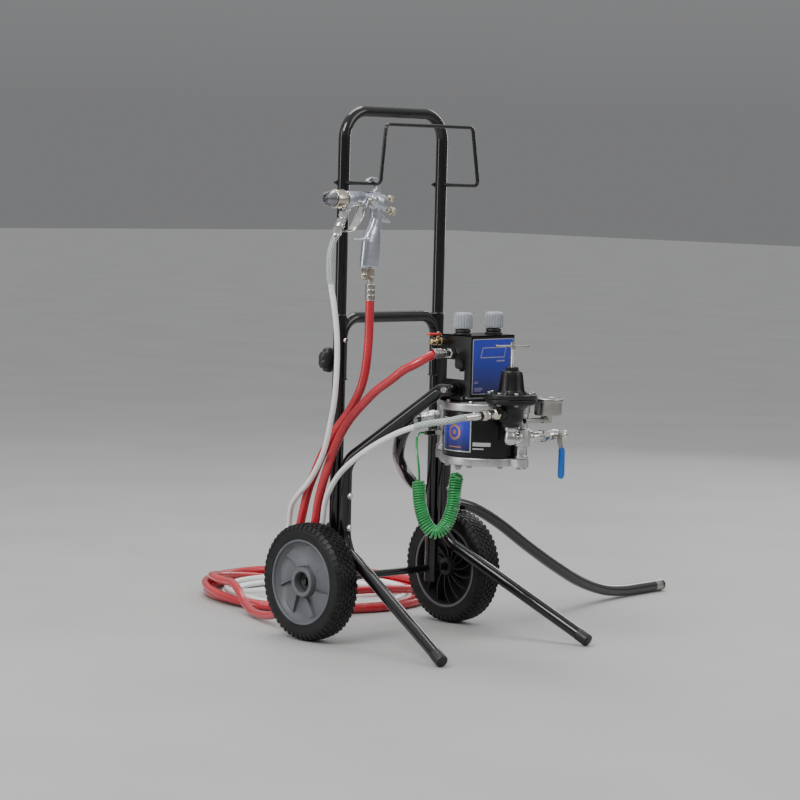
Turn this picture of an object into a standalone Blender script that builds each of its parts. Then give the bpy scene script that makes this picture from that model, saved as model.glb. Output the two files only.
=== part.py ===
"""Air-driven diaphragm-pump paint sprayer on a two-wheel cart, with its spray gun and hoses.

Metres, +Z up. The cart frame has its origin on the floor under the axle, +X to the right and
-Y to the front, and the empty "cart" carries it so that the footprint's middle is the world origin.
"""

import math

import bmesh
import bpy
from mathutils import Matrix, Vector
from mathutils.geometry import interpolate_bezier

GAP = 0.0003  # between pieces that touch

# Wheels and axle
WHEEL_RADIUS = 0.127
WHEEL_WIDTH = 0.060
WHEEL_OUTSET = 0.0695  # from an upright's middle to the wheel's
RIM_RADIUS = 0.0925
RIM_WALL = 0.0045
HUB_RING_RADIUS = 0.032
HUB_RECESS_RADIUS = 0.0225
AXLE_RADIUS = 0.008
AXLE_END_INSET = 0.010

# Frame tubes
UPRIGHT_X = 0.147
WHEEL_X = UPRIGHT_X + WHEEL_OUTSET
UPRIGHT_RADIUS = 0.0143
UPRIGHT_WALL = 0.0012
UPRIGHT_BOTTOM = 0.098
UPRIGHT_TOP = 0.700
HOOP_RADIUS = 0.0125
HOOP_TOP = 0.692
HOOP_BEND = 0.045
HOOP_FOOT = 0.560
FRONT_TUBE_RADIUS = 0.0135
FRONT_TUBE_X = UPRIGHT_X + 0.003
FRONT_TUBE_Y = -0.033
ARM_START = 0.385
ARM_END = Vector((0.0855, -0.285, 0.5555))
ARM_KNEE = Vector((0.0855, -0.250, 0.5535))
LEG_BEND = 0.200
FOOT_END = Vector((0.222, -0.414, 0.0105))
FOOT_LENGTH = 0.014
FRAME_BOLT_HEIGHTS = (0.243, 0.312)
FRAME_BOLT_RADIUS = 0.004

# Telescoping handle and gun hanger
HANDLE_RADIUS = 0.0127
HANDLE_BEND = 0.060
HANDLE_TOP = 1.136
HANDLE_BOTTOM = 0.480
HANGER_RADIUS = 0.004
HANGER_HEIGHT = 0.982
HANGER_REACH = 0.115
HANGER_TOP_REACH = 0.111
HANGER_TOP = 1.108
HANGER_TOP_X = 0.130
HANGER_BEND = 0.011
KNOB_HEIGHT = 0.600
KNOB_RADIUS = 0.027
STUD_RADIUS = 0.004

# Pump
PUMP_Y = -0.300
PUMP_RADIUS = 0.093
PUMP_BODY_RADIUS = 0.090
PUMP_BOTTOM = 0.400
PUMP_TOP = 0.530
COVER_THICKNESS = 0.017
DISH_DEPTH = 0.010
ROD_RADIUS = 0.008
DIAPHRAGM_RADIUS = 0.076
DIAPHRAGM_THICKNESS = 0.004
DIAPHRAGM_TRAVEL = 0.007
OUTLET_Y = -0.408
OUTLET_RADIUS = 0.0125
OUTLET_HEIGHT = 0.462
INLET_Y = -0.178
INLET_RADIUS = 0.016
LUG_RADIUS = 0.018

# Air panel
PANEL_HALF_WIDTH = 0.065
PANEL_FRONT = -0.318
PANEL_BACK = -0.230
PANEL_BOTTOM = 0.541
PANEL_TOP = 0.670
SHEET = 0.002
AIR_KNOB_Y = -0.272
AIR_KNOB_RADIUS = 0.0205
AIR_KNOB_BOTTOM = 0.6835
AIR_KNOB_TOP = 0.718
AIR_BODY_RADIUS = 0.0155

# Fluid regulator, gauge and outlet valve
REG_X = -0.046
REG_Y = -0.418
REG_FLANGE_RADIUS = 0.0545
REG_FLANGE_BOTTOM = 0.5365
REG_FLANGE_TOP = 0.556
REG_BODY_RADIUS = 0.030
REG_BODY_BOTTOM = 0.487
BONNET_TOP = 0.604
T_SCREW_RADIUS = 0.0045
T_SCREW_TOP = 0.663
T_BAR_HEIGHT = 0.6555
T_BAR_HALF = 0.040
GAUGE_X = 0.058
GAUGE_Y = -0.432
GAUGE_RADIUS = 0.030
GAUGE_BOTTOM = 0.508
GAUGE_TOP = 0.545
VALVE_X = 0.091
VALVE_END = 0.134

# Spray gun, hanging in the plane GUN_Y
GUN_Y = -0.0925
GUN_AXIS = 0.949
GUN_HALF = 0.0105
BARREL_RADIUS = 0.0175
BARREL_FRONT = -0.2285
RING_RADIUS = 0.0205
TRIGGER_PIVOT = Vector((-0.1655, GUN_Y, 0.9475))
TRIGGER_HALF = 0.0140
FINGER_STEP = 0.0005  # beyond GAP, beside the trigger's fork

# Hoses
WHITE_RADIUS = 0.006
RED_RADIUS = 0.0095
SUCTION_RADIUS = 0.0135
CURLY_RADIUS = 0.0138
LEAD_RADIUS = 0.0020
COIL_CENTRE = Vector((0.215, 0.450, 0.0))
RED_COIL = (0.232, 0.276, 0.042)  # inner radius, outer radius, height
WHITE_COIL = (0.186, 0.2315, 0.030)

# Colour, roughness and metallic value of each finish
FINISHES = {
    "black_paint": ((0.012, 0.012, 0.013), 0.22, 0.0),
    "black_plastic": ((0.02, 0.02, 0.021), 0.45, 0.0),
    "rubber": ((0.018, 0.018, 0.019), 0.8, 0.0),
    "grey_plastic": ((0.30, 0.31, 0.33), 0.45, 0.0),
    "steel": ((0.62, 0.61, 0.58), 0.25, 1.0),
    "aluminium": ((0.70, 0.71, 0.73), 0.32, 1.0),
    "brass": ((0.62, 0.47, 0.23), 0.3, 1.0),
    "red_plastic": ((0.62, 0.05, 0.04), 0.4, 0.0),
    "blue_plastic": ((0.02, 0.17, 0.55), 0.4, 0.0),
    "white_hose": ((0.78, 0.80, 0.78), 0.35, 0.0),
    "red_hose": ((0.48, 0.03, 0.04), 0.35, 0.0),
    "black_hose": ((0.015, 0.015, 0.016), 0.2, 0.0),
    "green_cord": ((0.02, 0.30, 0.09), 0.25, 0.0),
}

X, Y, Z = Vector((1, 0, 0)), Vector((0, 1, 0)), Vector((0, 0, 1))

for old in list(bpy.data.objects):
    bpy.data.objects.remove(old, do_unlink=True)

parts = bpy.data.collections.new("paint_sprayer")
helpers = bpy.data.collections.new("cutters")
for made in (parts, helpers):
    bpy.context.scene.collection.children.link(made)
cart = bpy.data.objects.new("cart", None)
parts.objects.link(cart)
cord_objects = set()


# ---------------------------------------------------------------- shapes


def dress(obj, finish):
    """Gives an object a material of its own, and puts it in the parts' collection on the cart."""
    colour, roughness, metallic = FINISHES[finish]
    material = bpy.data.materials.new(obj.name)
    material.use_nodes = True
    shader = material.node_tree.nodes["Principled BSDF"]
    shader.inputs["Base Color"].default_value = (*colour, 1.0)
    shader.inputs["Roughness"].default_value = roughness
    shader.inputs["Metallic"].default_value = metallic
    obj.data.materials.clear()
    obj.data.materials.append(material)
    parts.objects.link(obj)
    obj.parent = cart
    return obj


def aim(obj, place, axis):
    obj.location = place
    obj.rotation_mode = "QUATERNION"
    obj.rotation_quaternion = Vector(axis).to_track_quat("Z", "Y")


def turned(name, finish, profile, place=(0, 0, 0), axis=Z, sides=20, ring=False):
    """A solid of revolution about axis: (radius, height) points down the outer side, top first."""
    mesh = bpy.data.meshes.new(name)
    last = len(profile) - 1
    edges = [(i, i + 1) for i in range(last)] + [(last, 0)] * ring
    mesh.from_pydata([(r, 0, h) for r, h in profile], edges, [])
    obj = bpy.data.objects.new(name, mesh)
    screw = obj.modifiers.new("turn", "SCREW")
    screw.axis = "Z"
    screw.steps = screw.render_steps = sides
    screw.use_merge_vertices = True
    screw.merge_threshold = 0.00005
    aim(obj, place, axis)
    return dress(obj, finish)


def rod(name, finish, start, end, radius, sides=16):
    """A round bar from start to end."""
    start, end = Vector(start), Vector(end)
    long = (end - start).length
    profile = [(0, long), (radius, long), (radius, 0), (0, 0)]
    return turned(name, finish, profile, start, end - start, sides)


def pipe(name, finish, start, end, outer, inner, sides=20):
    """A round pipe from start to end."""
    start, end = Vector(start), Vector(end)
    long = (end - start).length
    profile = [(outer, long), (outer, 0), (inner, 0), (inner, long)]
    return turned(name, finish, profile, start, end - start, sides, ring=True)


def block(name, finish, low, high, bevel=0.0):
    """A box between two corners."""
    low, high = Vector(low), Vector(high)
    bm = bmesh.new()
    bmesh.ops.create_cube(bm, size=1.0)
    bmesh.ops.scale(bm, vec=high - low, verts=bm.verts)
    mesh = bpy.data.meshes.new(name)
    bm.to_mesh(mesh)
    bm.free()
    obj = bpy.data.objects.new(name, mesh)
    obj.location = (low + high) / 2
    if bevel:
        soft = obj.modifiers.new("edges", "BEVEL")
        soft.width, soft.segments = bevel, 2
    return dress(obj, finish)


def rounded(corners, radius, steps=4):
    """The route through corners, with each inner corner a smooth bend of about that radius."""
    corners = [Vector(c) for c in corners]
    radii = radius if isinstance(radius, (list, tuple)) else [radius] * (len(corners) - 2)
    route = [corners[0]]
    for before, here, after, bend in zip(corners, corners[1:], corners[2:], radii):
        back, on = (before - here).normalized(), (after - here).normalized()
        half = back.angle(on) / 2
        reach = bend / math.tan(half)
        centre = here + (back + on).normalized() * bend / math.sin(half)
        first, final = here + back * reach - centre, here + on * reach - centre
        turn = first.angle(final)
        for i in range(steps + 1):
            t = i / steps
            a = math.sin((1 - t) * turn) / math.sin(turn)
            b = math.sin(t * turn) / math.sin(turn)
            route.append(centre + first * a + final * b)
    return route + [corners[-1]]


def bar(name, finish, route, radius, resolution=3):
    """A round bent bar along a route: a curve with filled ends."""
    data = bpy.data.curves.new(name, "CURVE")
    data.dimensions = "3D"
    data.bevel_depth = radius
    data.bevel_resolution = resolution
    data.use_fill_caps = True
    line = data.splines.new("POLY")
    line.points.add(len(route) - 1)
    for point, place in zip(line.points, route):
        point.co = (*place, 1)
    return dress(bpy.data.objects.new(name, data), finish)


def plate(name, finish, outline, thickness, centre=(0, 0, 0), across=Y):
    """A flat plate: its outline lies square to across, which is +Y, so the points are (x, z)."""
    data = bpy.data.curves.new(name, "CURVE")
    data.dimensions = "2D"
    data.fill_mode = "BOTH"
    data.extrude = thickness / 2
    line = data.splines.new("POLY")
    line.points.add(len(outline) - 1)
    for point, (a, b) in zip(line.points, outline):
        point.co = (a, b, 0, 1)
    line.use_cyclic_u = True
    obj = bpy.data.objects.new(name, data)
    obj.location = centre
    if across == Y:
        obj.rotation_euler = (math.pi / 2, 0, 0)
    elif across == X:
        obj.rotation_euler = (math.pi / 2, 0, math.pi / 2)
    return dress(obj, finish)


def as_mesh(curve, finish):
    """The curve's object made a mesh with welded caps, so that it can be cut and joined."""
    bpy.context.view_layer.update()
    graph = bpy.context.evaluated_depsgraph_get()
    mesh = bpy.data.meshes.new_from_object(curve.evaluated_get(graph))
    bm = bmesh.new()
    bm.from_mesh(mesh)
    bmesh.ops.remove_doubles(bm, verts=bm.verts, dist=0.00001)
    bmesh.ops.recalc_face_normals(bm, faces=bm.faces)
    bm.to_mesh(mesh)
    bm.free()
    name = curve.name
    curve.name = name + "_curve"
    obj = bpy.data.objects.new(name, mesh)
    dress(obj, finish)
    obj.matrix_basis = curve.matrix_basis.copy()
    bpy.data.objects.remove(curve, do_unlink=True)
    return obj


def change(target, tool, operation):
    boolean = target.modifiers.new(operation.lower(), "BOOLEAN")
    boolean.operation = operation
    boolean.solver = "EXACT"
    boolean.object = tool
    tool.hide_render = True
    tool.display_type = "WIRE"
    if tool.name in parts.objects:
        parts.objects.unlink(tool)
        helpers.objects.link(tool)


def cut(target, *tools):
    for tool in tools:
        change(target, tool, "DIFFERENCE")
    return target


def join(target, *tools):
    for tool in tools:
        change(target, tool, "UNION")
    return target


def pivot(obj, place):
    """Moves a mesh object's origin to its joint axis, leaving its shape where it is."""
    move = obj.matrix_basis.inverted() @ Vector(place)
    obj.data.transform(Matrix.Translation(-move))
    obj.matrix_basis = obj.matrix_basis @ Matrix.Translation(move)


def smooth_route(points, count):
    """Count points along a smooth curve through the given ones, evenly spread over its spans."""
    points = [Vector(p) for p in points]
    ends = [points[0] * 2 - points[1], *points, points[-1] * 2 - points[-2]]
    fine = []
    for before, a, b, after in zip(ends, ends[1:], ends[2:], ends[3:]):
        step = (b - a).length / 3
        out, back = (b - before).normalized() * step, (after - a).normalized() * step
        fine += interpolate_bezier(a, a + out, b - back, b, 24)[:-1]
    fine.append(points[-1])
    along = [0.0]
    for a, b in zip(fine, fine[1:]):
        along.append(along[-1] + (b - a).length)
    route, k = [], 0
    for i in range(count):
        at = along[-1] * i / (count - 1)
        while k < len(fine) - 2 and along[k + 1] < at:
            k += 1
        share = (at - along[k]) / (along[k + 1] - along[k])
        route.append(fine[k].lerp(fine[k + 1], min(share, 1.0)))
    return route


def cord(name, finish, points, radius, count):
    """A free cord's plain tube along the smooth curve through its route's points."""
    route = smooth_route(points, count)
    straight = (Vector(points[1]) - Vector(points[0])).normalized() * radius
    route.insert(1, route[0] + straight)
    obj = bar(name, finish, route, radius, 2)
    cord_objects.add(obj)
    return obj


# ---------------------------------------------------------------- wheels and axle


def wheel(side):
    """Hub and tyre of one wheel, turned about the axle, with +Z of the profile outward."""
    name = "left" if side < 0 else "right"
    half = WHEEL_WIDTH / 2
    rim_half = half - 0.002
    bore = AXLE_RADIUS + GAP
    rim_in = RIM_RADIUS - RIM_WALL
    place, axis = (side * WHEEL_X, 0, WHEEL_RADIUS), (side, 0, 0)
    hub = [
        (RIM_RADIUS, rim_half),
        (RIM_RADIUS, -rim_half),
        (rim_in, -rim_half),
        (rim_in - 0.001, 0.004),
        (0.022, 0.004),
        (0.020, -half + 0.004),
        (bore, -half + 0.004),
        (bore, 0.010),
        (HUB_RECESS_RADIUS, 0.010),
        (HUB_RECESS_RADIUS, half - 0.003),
        (HUB_RING_RADIUS, half - 0.003),
        (HUB_RING_RADIUS, 0.012),
        (rim_in - 0.001, 0.012),
        (rim_in, rim_half),
    ]
    turned(name + "_wheel_hub", "grey_plastic", hub, place, axis, 28, ring=True)
    seat = RIM_RADIUS + GAP
    side_profile = [(seat, rim_half), (0.108, half), (0.119, half - 0.003)]
    tread = [(0.1245, half - 0.008), (WHEEL_RADIUS, half - 0.017)]
    outer = side_profile + tread
    tyre = outer + [(r, -h) for r, h in reversed(outer)]
    turned(name + "_tyre", "rubber", tyre, place, axis, 28, ring=True)


for side in (-1, 1):
    wheel(side)
axle_half = WHEEL_X + WHEEL_WIDTH / 2 - AXLE_END_INSET
axle_start, axle_end = (-axle_half, 0, WHEEL_RADIUS), (axle_half, 0, WHEEL_RADIUS)
rod("axle", "black_paint", axle_start, axle_end, AXLE_RADIUS, 20)


# ---------------------------------------------------------------- frame


def hole(name, start, end, radius, sides=16):
    """A cutter for a round hole from start to end, for a shank of that radius."""
    return rod(name, "steel", start, end, radius + GAP, sides)


def upright(side):
    """One hollow upright, holed for the axle, the clamp's stud and the front tube's bolts."""
    name = "left" if side < 0 else "right"
    x = side * UPRIGHT_X
    inner = UPRIGHT_RADIUS - UPRIGHT_WALL
    tube = pipe(name + "_upright", "black_paint", (x, 0, UPRIGHT_BOTTOM), (x, 0, UPRIGHT_TOP),
                UPRIGHT_RADIUS, inner, 20)
    reach = UPRIGHT_RADIUS + 0.01
    cut(tube, hole(name + "_axle_hole", (x - reach, 0, WHEEL_RADIUS),
                   (x + reach, 0, WHEEL_RADIUS), AXLE_RADIUS))
    if side < 0:
        cut(tube, hole("stud_hole", (x, UPRIGHT_RADIUS / 2, KNOB_HEIGHT),
                       (x, reach, KNOB_HEIGHT), STUD_RADIUS))
    return tube


def front_tube(side):
    """One bent front tube: pump arm, the part beside the upright, and the splayed leg."""
    name = "left" if side < 0 else "right"

    def mirrored(p):
        return Vector((side * p[0], p[1], p[2]))

    along = (FOOT_END - Vector((FRONT_TUBE_X, FRONT_TUBE_Y, LEG_BEND))).normalized()
    leg_end = FOOT_END - along * (FOOT_LENGTH + GAP)
    corners = [
        ARM_END,
        ARM_KNEE,
        (FRONT_TUBE_X, FRONT_TUBE_Y, ARM_START),
        (FRONT_TUBE_X, FRONT_TUBE_Y, LEG_BEND),
        leg_end,
    ]
    bends = [0.030, 0.055, 0.060]
    route = [mirrored(p) for p in rounded(corners, bends)]
    tube = bar(name + "_front_tube", "black_paint", route, FRONT_TUBE_RADIUS)
    tube = as_mesh(tube, "black_paint")
    start = mirrored(FOOT_END - along * FOOT_LENGTH)
    foot = rod(name + "_foot", "rubber", start, mirrored(FOOT_END), FRONT_TUBE_RADIUS, 20)
    below = block(name + "_floor", "rubber", mirrored(FOOT_END) - Vector((0.1, 0.1, 0.1)),
                  mirrored(FOOT_END) + Vector((0.1, 0.1, -FOOT_END.z)))
    cut(foot, below)
    return tube


left_upright, right_upright = upright(-1), upright(1)
left_front, right_front = front_tube(-1), front_tube(1)

# The cross hoop is coped round the uprights that it is welded to.
hoop_x = UPRIGHT_X - 0.0055
hoop_corners = [(-hoop_x, 0, HOOP_FOOT), (-hoop_x, 0, HOOP_TOP), (hoop_x, 0, HOOP_TOP),
                (hoop_x, 0, HOOP_FOOT)]
hoop = bar("cross_hoop", "black_paint", rounded(hoop_corners, HOOP_BEND, 7), HOOP_RADIUS)
hoop = as_mesh(hoop, "black_paint")
for side in (-1, 1):
    cope_start = (side * UPRIGHT_X, 0, UPRIGHT_BOTTOM)
    cope_end = (side * UPRIGHT_X, 0, UPRIGHT_TOP + 0.05)
    cut(hoop, rod(f"cope_{side}", "steel", cope_start, cope_end, UPRIGHT_RADIUS + GAP, 24))

# ---------------------------------------------------------------- handle, hanger and clamp knob

handle_corners = [(-UPRIGHT_X, 0, HANDLE_BOTTOM), (-UPRIGHT_X, 0, HANDLE_TOP),
                  (UPRIGHT_X, 0, HANDLE_TOP), (UPRIGHT_X, 0, HANDLE_BOTTOM)]
handle_route = rounded(handle_corners, HANDLE_BEND, 8)
handle = as_mesh(bar("handle_tube", "black_paint", handle_route, HANDLE_RADIUS), "black_paint")
for side in (-1, 1):
    cut(handle, hole(f"hanger_hole_{side}", (side * UPRIGHT_X, -0.03, HANGER_HEIGHT),
                     (side * UPRIGHT_X, 0.03, HANGER_HEIGHT), HANGER_RADIUS, 12))
hanger_half = [(-UPRIGHT_X, 0.026, HANGER_HEIGHT), (-UPRIGHT_X, -HANGER_REACH, HANGER_HEIGHT),
               (-HANGER_TOP_X, -HANGER_TOP_REACH, HANGER_TOP)]
hanger_corners = hanger_half + [(-x, y, z) for x, y, z in reversed(hanger_half)]
bar("gun_hanger", "black_paint", rounded(hanger_corners, HANGER_BEND, 4), HANGER_RADIUS, 2)

stud_start = HANDLE_RADIUS + GAP
knob_profile = [(0, 0.046), (0.012, 0.046), (0.020, 0.043), (KNOB_RADIUS, 0.038),
                (KNOB_RADIUS, 0.026), (0.020, 0.021), (0.010, UPRIGHT_RADIUS + 0.002),
                (STUD_RADIUS, UPRIGHT_RADIUS + 0.002), (STUD_RADIUS, stud_start),
                (0, stud_start)]
turned("clamp_knob", "black_plastic", knob_profile, (-UPRIGHT_X, 0, KNOB_HEIGHT), Y, 20)

# ---------------------------------------------------------------- pump


def disc(name, finish, radius, bottom, top, y=PUMP_Y, x=0.0, sides=32):
    profile = [(0, top), (radius, top), (radius, bottom), (0, bottom)]
    return turned(name, finish, profile, (x, y, 0), Z, sides)


def cover(name, bottom, top, dish_up):
    """A pump cover: a disc with a dished inside and a lug at the front and at the rear."""
    obj = disc(name, "aluminium", PUMP_RADIUS, bottom, top)
    for y, half in ((OUTLET_Y, LUG_RADIUS - 0.002), (INLET_Y, LUG_RADIUS)):
        lug = disc(f"{name}_lug_{half}", "aluminium", half, bottom + GAP, top - GAP, y, sides=20)
        near = PUMP_Y + math.copysign(PUMP_RADIUS - 0.02, y - PUMP_Y)
        low = (-half + 0.002, min(y, near), bottom + 0.001)
        high = (half - 0.002, max(y, near), top - 0.001)
        join(obj, block(f"{name}_bridge_{half}", "aluminium", low, high), lug)
    dish_z = (top - DISH_DEPTH, top + 0.001) if dish_up else (bottom - 0.001, bottom + DISH_DEPTH)
    return cut(obj, disc(name + "_dish", "steel", DIAPHRAGM_RADIUS, *dish_z))


body_bottom, body_top = PUMP_BOTTOM + COVER_THICKNESS + GAP, PUMP_TOP - COVER_THICKNESS - GAP
lower_cover = cover("pump_lower_cover", PUMP_BOTTOM, PUMP_BOTTOM + COVER_THICKNESS, True)
ground_stud = disc("ground_stud", "steel", 0.006, PUMP_BOTTOM - 0.016, PUMP_BOTTOM + 0.004,
                   -0.266, -0.043, 12)
join(lower_cover, ground_stud)
cover("pump_upper_cover", PUMP_TOP - COVER_THICKNESS, PUMP_TOP, False)
middle = (body_bottom + body_top) / 2
casing_in, web_half, rod_bore = DIAPHRAGM_RADIUS + 0.002, 0.018, ROD_RADIUS + GAP
pump_body = [
    (PUMP_BODY_RADIUS, body_top),
    (PUMP_BODY_RADIUS, body_bottom),
    (casing_in, body_bottom),
    (casing_in, middle - web_half),
    (rod_bore, middle - web_half),
    (rod_bore, middle + web_half),
    (casing_in, middle + web_half),
    (casing_in, body_top),
]
turned("pump_body", "black_paint", pump_body, (0, PUMP_Y, 0), Z, 32, ring=True)
diaphragm_gap = DIAPHRAGM_TRAVEL + 0.0015
for name, low in (("lower_diaphragm", middle - web_half - diaphragm_gap - DIAPHRAGM_THICKNESS),
                  ("upper_diaphragm", middle + web_half + diaphragm_gap)):
    disc(name, "rubber", DIAPHRAGM_RADIUS, low, low + DIAPHRAGM_THICKNESS)
rod_half = web_half + diaphragm_gap - GAP
disc("diaphragm_rod", "steel", ROD_RADIUS, middle - rod_half, middle + rod_half, sides=20)

lug_top, lug_bottom = PUMP_TOP - COVER_THICKNESS, PUMP_BOTTOM + COVER_THICKNESS
hub_half, branch_radius = 0.0175, 0.0115
outlet_profile = [
    (0, lug_top), (OUTLET_RADIUS, lug_top), (OUTLET_RADIUS, OUTLET_HEIGHT + hub_half),
    (0.017, OUTLET_HEIGHT + hub_half), (0.017, OUTLET_HEIGHT - hub_half),
    (OUTLET_RADIUS, OUTLET_HEIGHT - hub_half), (OUTLET_RADIUS, lug_bottom + GAP),
    (0, lug_bottom + GAP),
]
outlet = turned("outlet_manifold", "steel", outlet_profile, (0, OUTLET_Y, 0), Z, 18)
branch_end = 0.026
join(outlet, rod("outlet_branch", "steel", (0, OUTLET_Y, OUTLET_HEIGHT),
                 (branch_end, OUTLET_Y, OUTLET_HEIGHT), branch_radius + 0.003, 6))
inlet_profile = [(0, lug_top), (INLET_RADIUS, lug_top), (INLET_RADIUS, lug_bottom + GAP),
                 (0, lug_bottom + GAP)]
inlet = turned("inlet_manifold", "aluminium", inlet_profile, (0, INLET_Y, 0), Z, 18)
barb_start = Vector((0, INLET_Y, 0.492))
barb_direction = Vector((-0.55, 0.62, -0.15)).normalized()
barb_end = barb_start + barb_direction * 0.052
join(inlet, rod("inlet_barb", "aluminium", barb_start, barb_end, 0.012, 16))

# ---------------------------------------------------------------- pump bracket and air panel

ear_in = PANEL_HALF_WIDTH + 0.0015
ear_out = ear_in + 0.0035
base_top = PUMP_TOP + GAP + 0.0045
arm_bolt_y = ARM_END.y + 0.012
arm_bolt_z = ARM_END.z
bracket_front, bracket_back = arm_bolt_y - 0.018, arm_bolt_y + 0.040
bracket = block("pump_bracket", "black_paint", (-ear_out, bracket_front, PUMP_TOP + GAP),
                (ear_out, bracket_back, base_top))
for side in (-1, 1):
    ends = sorted((side * ear_in, side * ear_out))
    ear_top = arm_bolt_z + 0.015
    join(bracket, block(f"ear_{side}", "black_paint", (ends[0], bracket_front, PUMP_TOP + 0.002),
                        (ends[1], bracket_back, ear_top)))
panel_low = (-PANEL_HALF_WIDTH, PANEL_FRONT, PANEL_BOTTOM)
panel_high = (PANEL_HALF_WIDTH, PANEL_BACK, PANEL_TOP)
panel = block("panel_box", "black_paint", panel_low, panel_high)
inside_low = (-PANEL_HALF_WIDTH + SHEET, PANEL_FRONT + SHEET, PANEL_BOTTOM - 0.01)
inside_high = (PANEL_HALF_WIDTH - SHEET, PANEL_BACK + 0.01, PANEL_TOP - SHEET)
window_low = (-PANEL_HALF_WIDTH - 0.01, PANEL_FRONT + 0.020, 0.577)
window_high = (PANEL_HALF_WIDTH + 0.01, PANEL_BACK - 0.014, 0.618)
cut(panel, block("panel_inside", "steel", inside_low, inside_high),
    block("panel_window", "steel", window_low, window_high))
bolt_inner, bolt_head = PANEL_HALF_WIDTH - SHEET - 0.004, ARM_END.x + FRONT_TUBE_RADIUS
for side, tube in ((-1, left_front), (1, right_front)):
    start = (side * bolt_inner, arm_bolt_y, arm_bolt_z)
    end = (side * (bolt_head + 0.02), arm_bolt_y, arm_bolt_z)
    bolt_hole = hole(f"arm_bolt_hole_{side}", start, end, FRAME_BOLT_RADIUS, 12)
    cut(tube, bolt_hole)
    cut(bracket, bolt_hole)
    cut(panel, bolt_hole)
    for height in FRAME_BOLT_HEIGHTS:
        front = (side * FRONT_TUBE_X, FRONT_TUBE_Y - 0.02, height)
        back = (side * FRONT_TUBE_X, 0.03, height)
        frame_hole = hole(f"frame_bolt_hole_{side}_{height}", front, back, FRAME_BOLT_RADIUS, 12)
        cut(tube, frame_hole)
        cut(left_upright if side < 0 else right_upright, frame_hole)

# Strut from the right upright to the panel's right cheek.
strut_start = Vector((UPRIGHT_X - 0.012, -UPRIGHT_RADIUS - 0.002, 0.645))
strut_end = Vector((PANEL_HALF_WIDTH + GAP + 0.0015, PANEL_BACK - 0.012, 0.645))
strut_half_height = 0.008


def flat_strip(name, finish, route, half_height, thickness):
    """An upright flat strip along a level route: an open ribbon with Solidify."""
    bm = bmesh.new()
    rows = [[bm.verts.new(Vector(p) + Z * h) for h in (-half_height, half_height)] for p in route]
    for a, b in zip(rows, rows[1:]):
        bm.faces.new((a[0], b[0], b[1], a[1]))
    mesh = bpy.data.meshes.new(name)
    bm.to_mesh(mesh)
    bm.free()
    obj = bpy.data.objects.new(name, mesh)
    thick = obj.modifiers.new("thickness", "SOLIDIFY")
    thick.thickness = thickness
    thick.offset = 0
    return dress(obj, finish)


strut_route = [strut_start + Vector((0.022, 0, 0)), strut_start, strut_end + Vector((0, 0.030, 0)),
               strut_end]
flat_strip("panel_strut", "black_paint", strut_route, strut_half_height, 0.0025)

for side, name in ((-1, "left"), (1, "right")):
    body_x = side * (PANEL_HALF_WIDTH - SHEET - AIR_BODY_RADIUS - 0.0012)
    neck = 0.0105
    body = [
        (0, AIR_KNOB_BOTTOM - GAP - 0.001), (0.0165, AIR_KNOB_BOTTOM - GAP - 0.001),
        (0.0165, PANEL_TOP + GAP), (neck, PANEL_TOP + GAP), (neck, PANEL_TOP - SHEET - GAP),
        (AIR_BODY_RADIUS, PANEL_TOP - SHEET - GAP), (AIR_BODY_RADIUS, 0.6195), (0, 0.6195),
    ]
    turned(name + "_air_regulator", "black_plastic", body, (body_x, AIR_KNOB_Y, 0), Z, 20)
    cut(panel, hole(f"neck_hole_{side}", (body_x, AIR_KNOB_Y, PANEL_TOP - 0.01),
                    (body_x, AIR_KNOB_Y, PANEL_TOP + 0.01), neck, 20))
    knob = [(0, AIR_KNOB_TOP), (0.017, AIR_KNOB_TOP), (0.0198, AIR_KNOB_TOP - 0.004),
            (AIR_KNOB_RADIUS, AIR_KNOB_TOP - 0.010), (AIR_KNOB_RADIUS, AIR_KNOB_BOTTOM),
            (0, AIR_KNOB_BOTTOM)]
    turned(name + "_air_knob", "grey_plastic", knob, (body_x, AIR_KNOB_Y, 0), Z, 24)

# Red hose outlet, out of the left cheek.
outlet_z, air_outlet_y = 0.6315, -0.262
cheek = -PANEL_HALF_WIDTH
air_fitting = [(0, 0.036), (0.0088, 0.036), (0.0088, 0.020), (0.0100, 0.020), (0.0100, 0.002),
               (0.0115, 0.002), (0.0115, GAP), (0, GAP)]
turned("air_outlet_fitting", "steel", air_fitting, (cheek, air_outlet_y, outlet_z), -X, 16)

# Small red-handled valve above it, at the rear.
valve_y, valve_z = -0.2375, 0.6550
valve_body = [(0, 0.042), (0.006, 0.042), (0.006, 0.030), (0.0085, 0.030), (0.0085, 0.010),
              (0.006, 0.010), (0.006, GAP), (0, GAP)]
air_valve = turned("air_valve_body", "brass", valve_body, (cheek, valve_y, valve_z), -X, 14)
stem_x = cheek - 0.020
stem_top = valve_z + 0.0125
join(air_valve, rod("air_valve_stem", "brass", (stem_x, valve_y, valve_z),
                    (stem_x, valve_y, stem_top), 0.0035, 10))
lever_low = (stem_x - 0.038, valve_y - 0.0055, stem_top + GAP)
lever_high = (stem_x + 0.006, valve_y + 0.0055, stem_top + 0.006)
air_lever = block("air_valve_lever", "red_plastic", lever_low, lever_high, 0.0015)
pivot(air_lever, (stem_x, valve_y, stem_top))

# ---------------------------------------------------------------- fluid regulator and gauge

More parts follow.
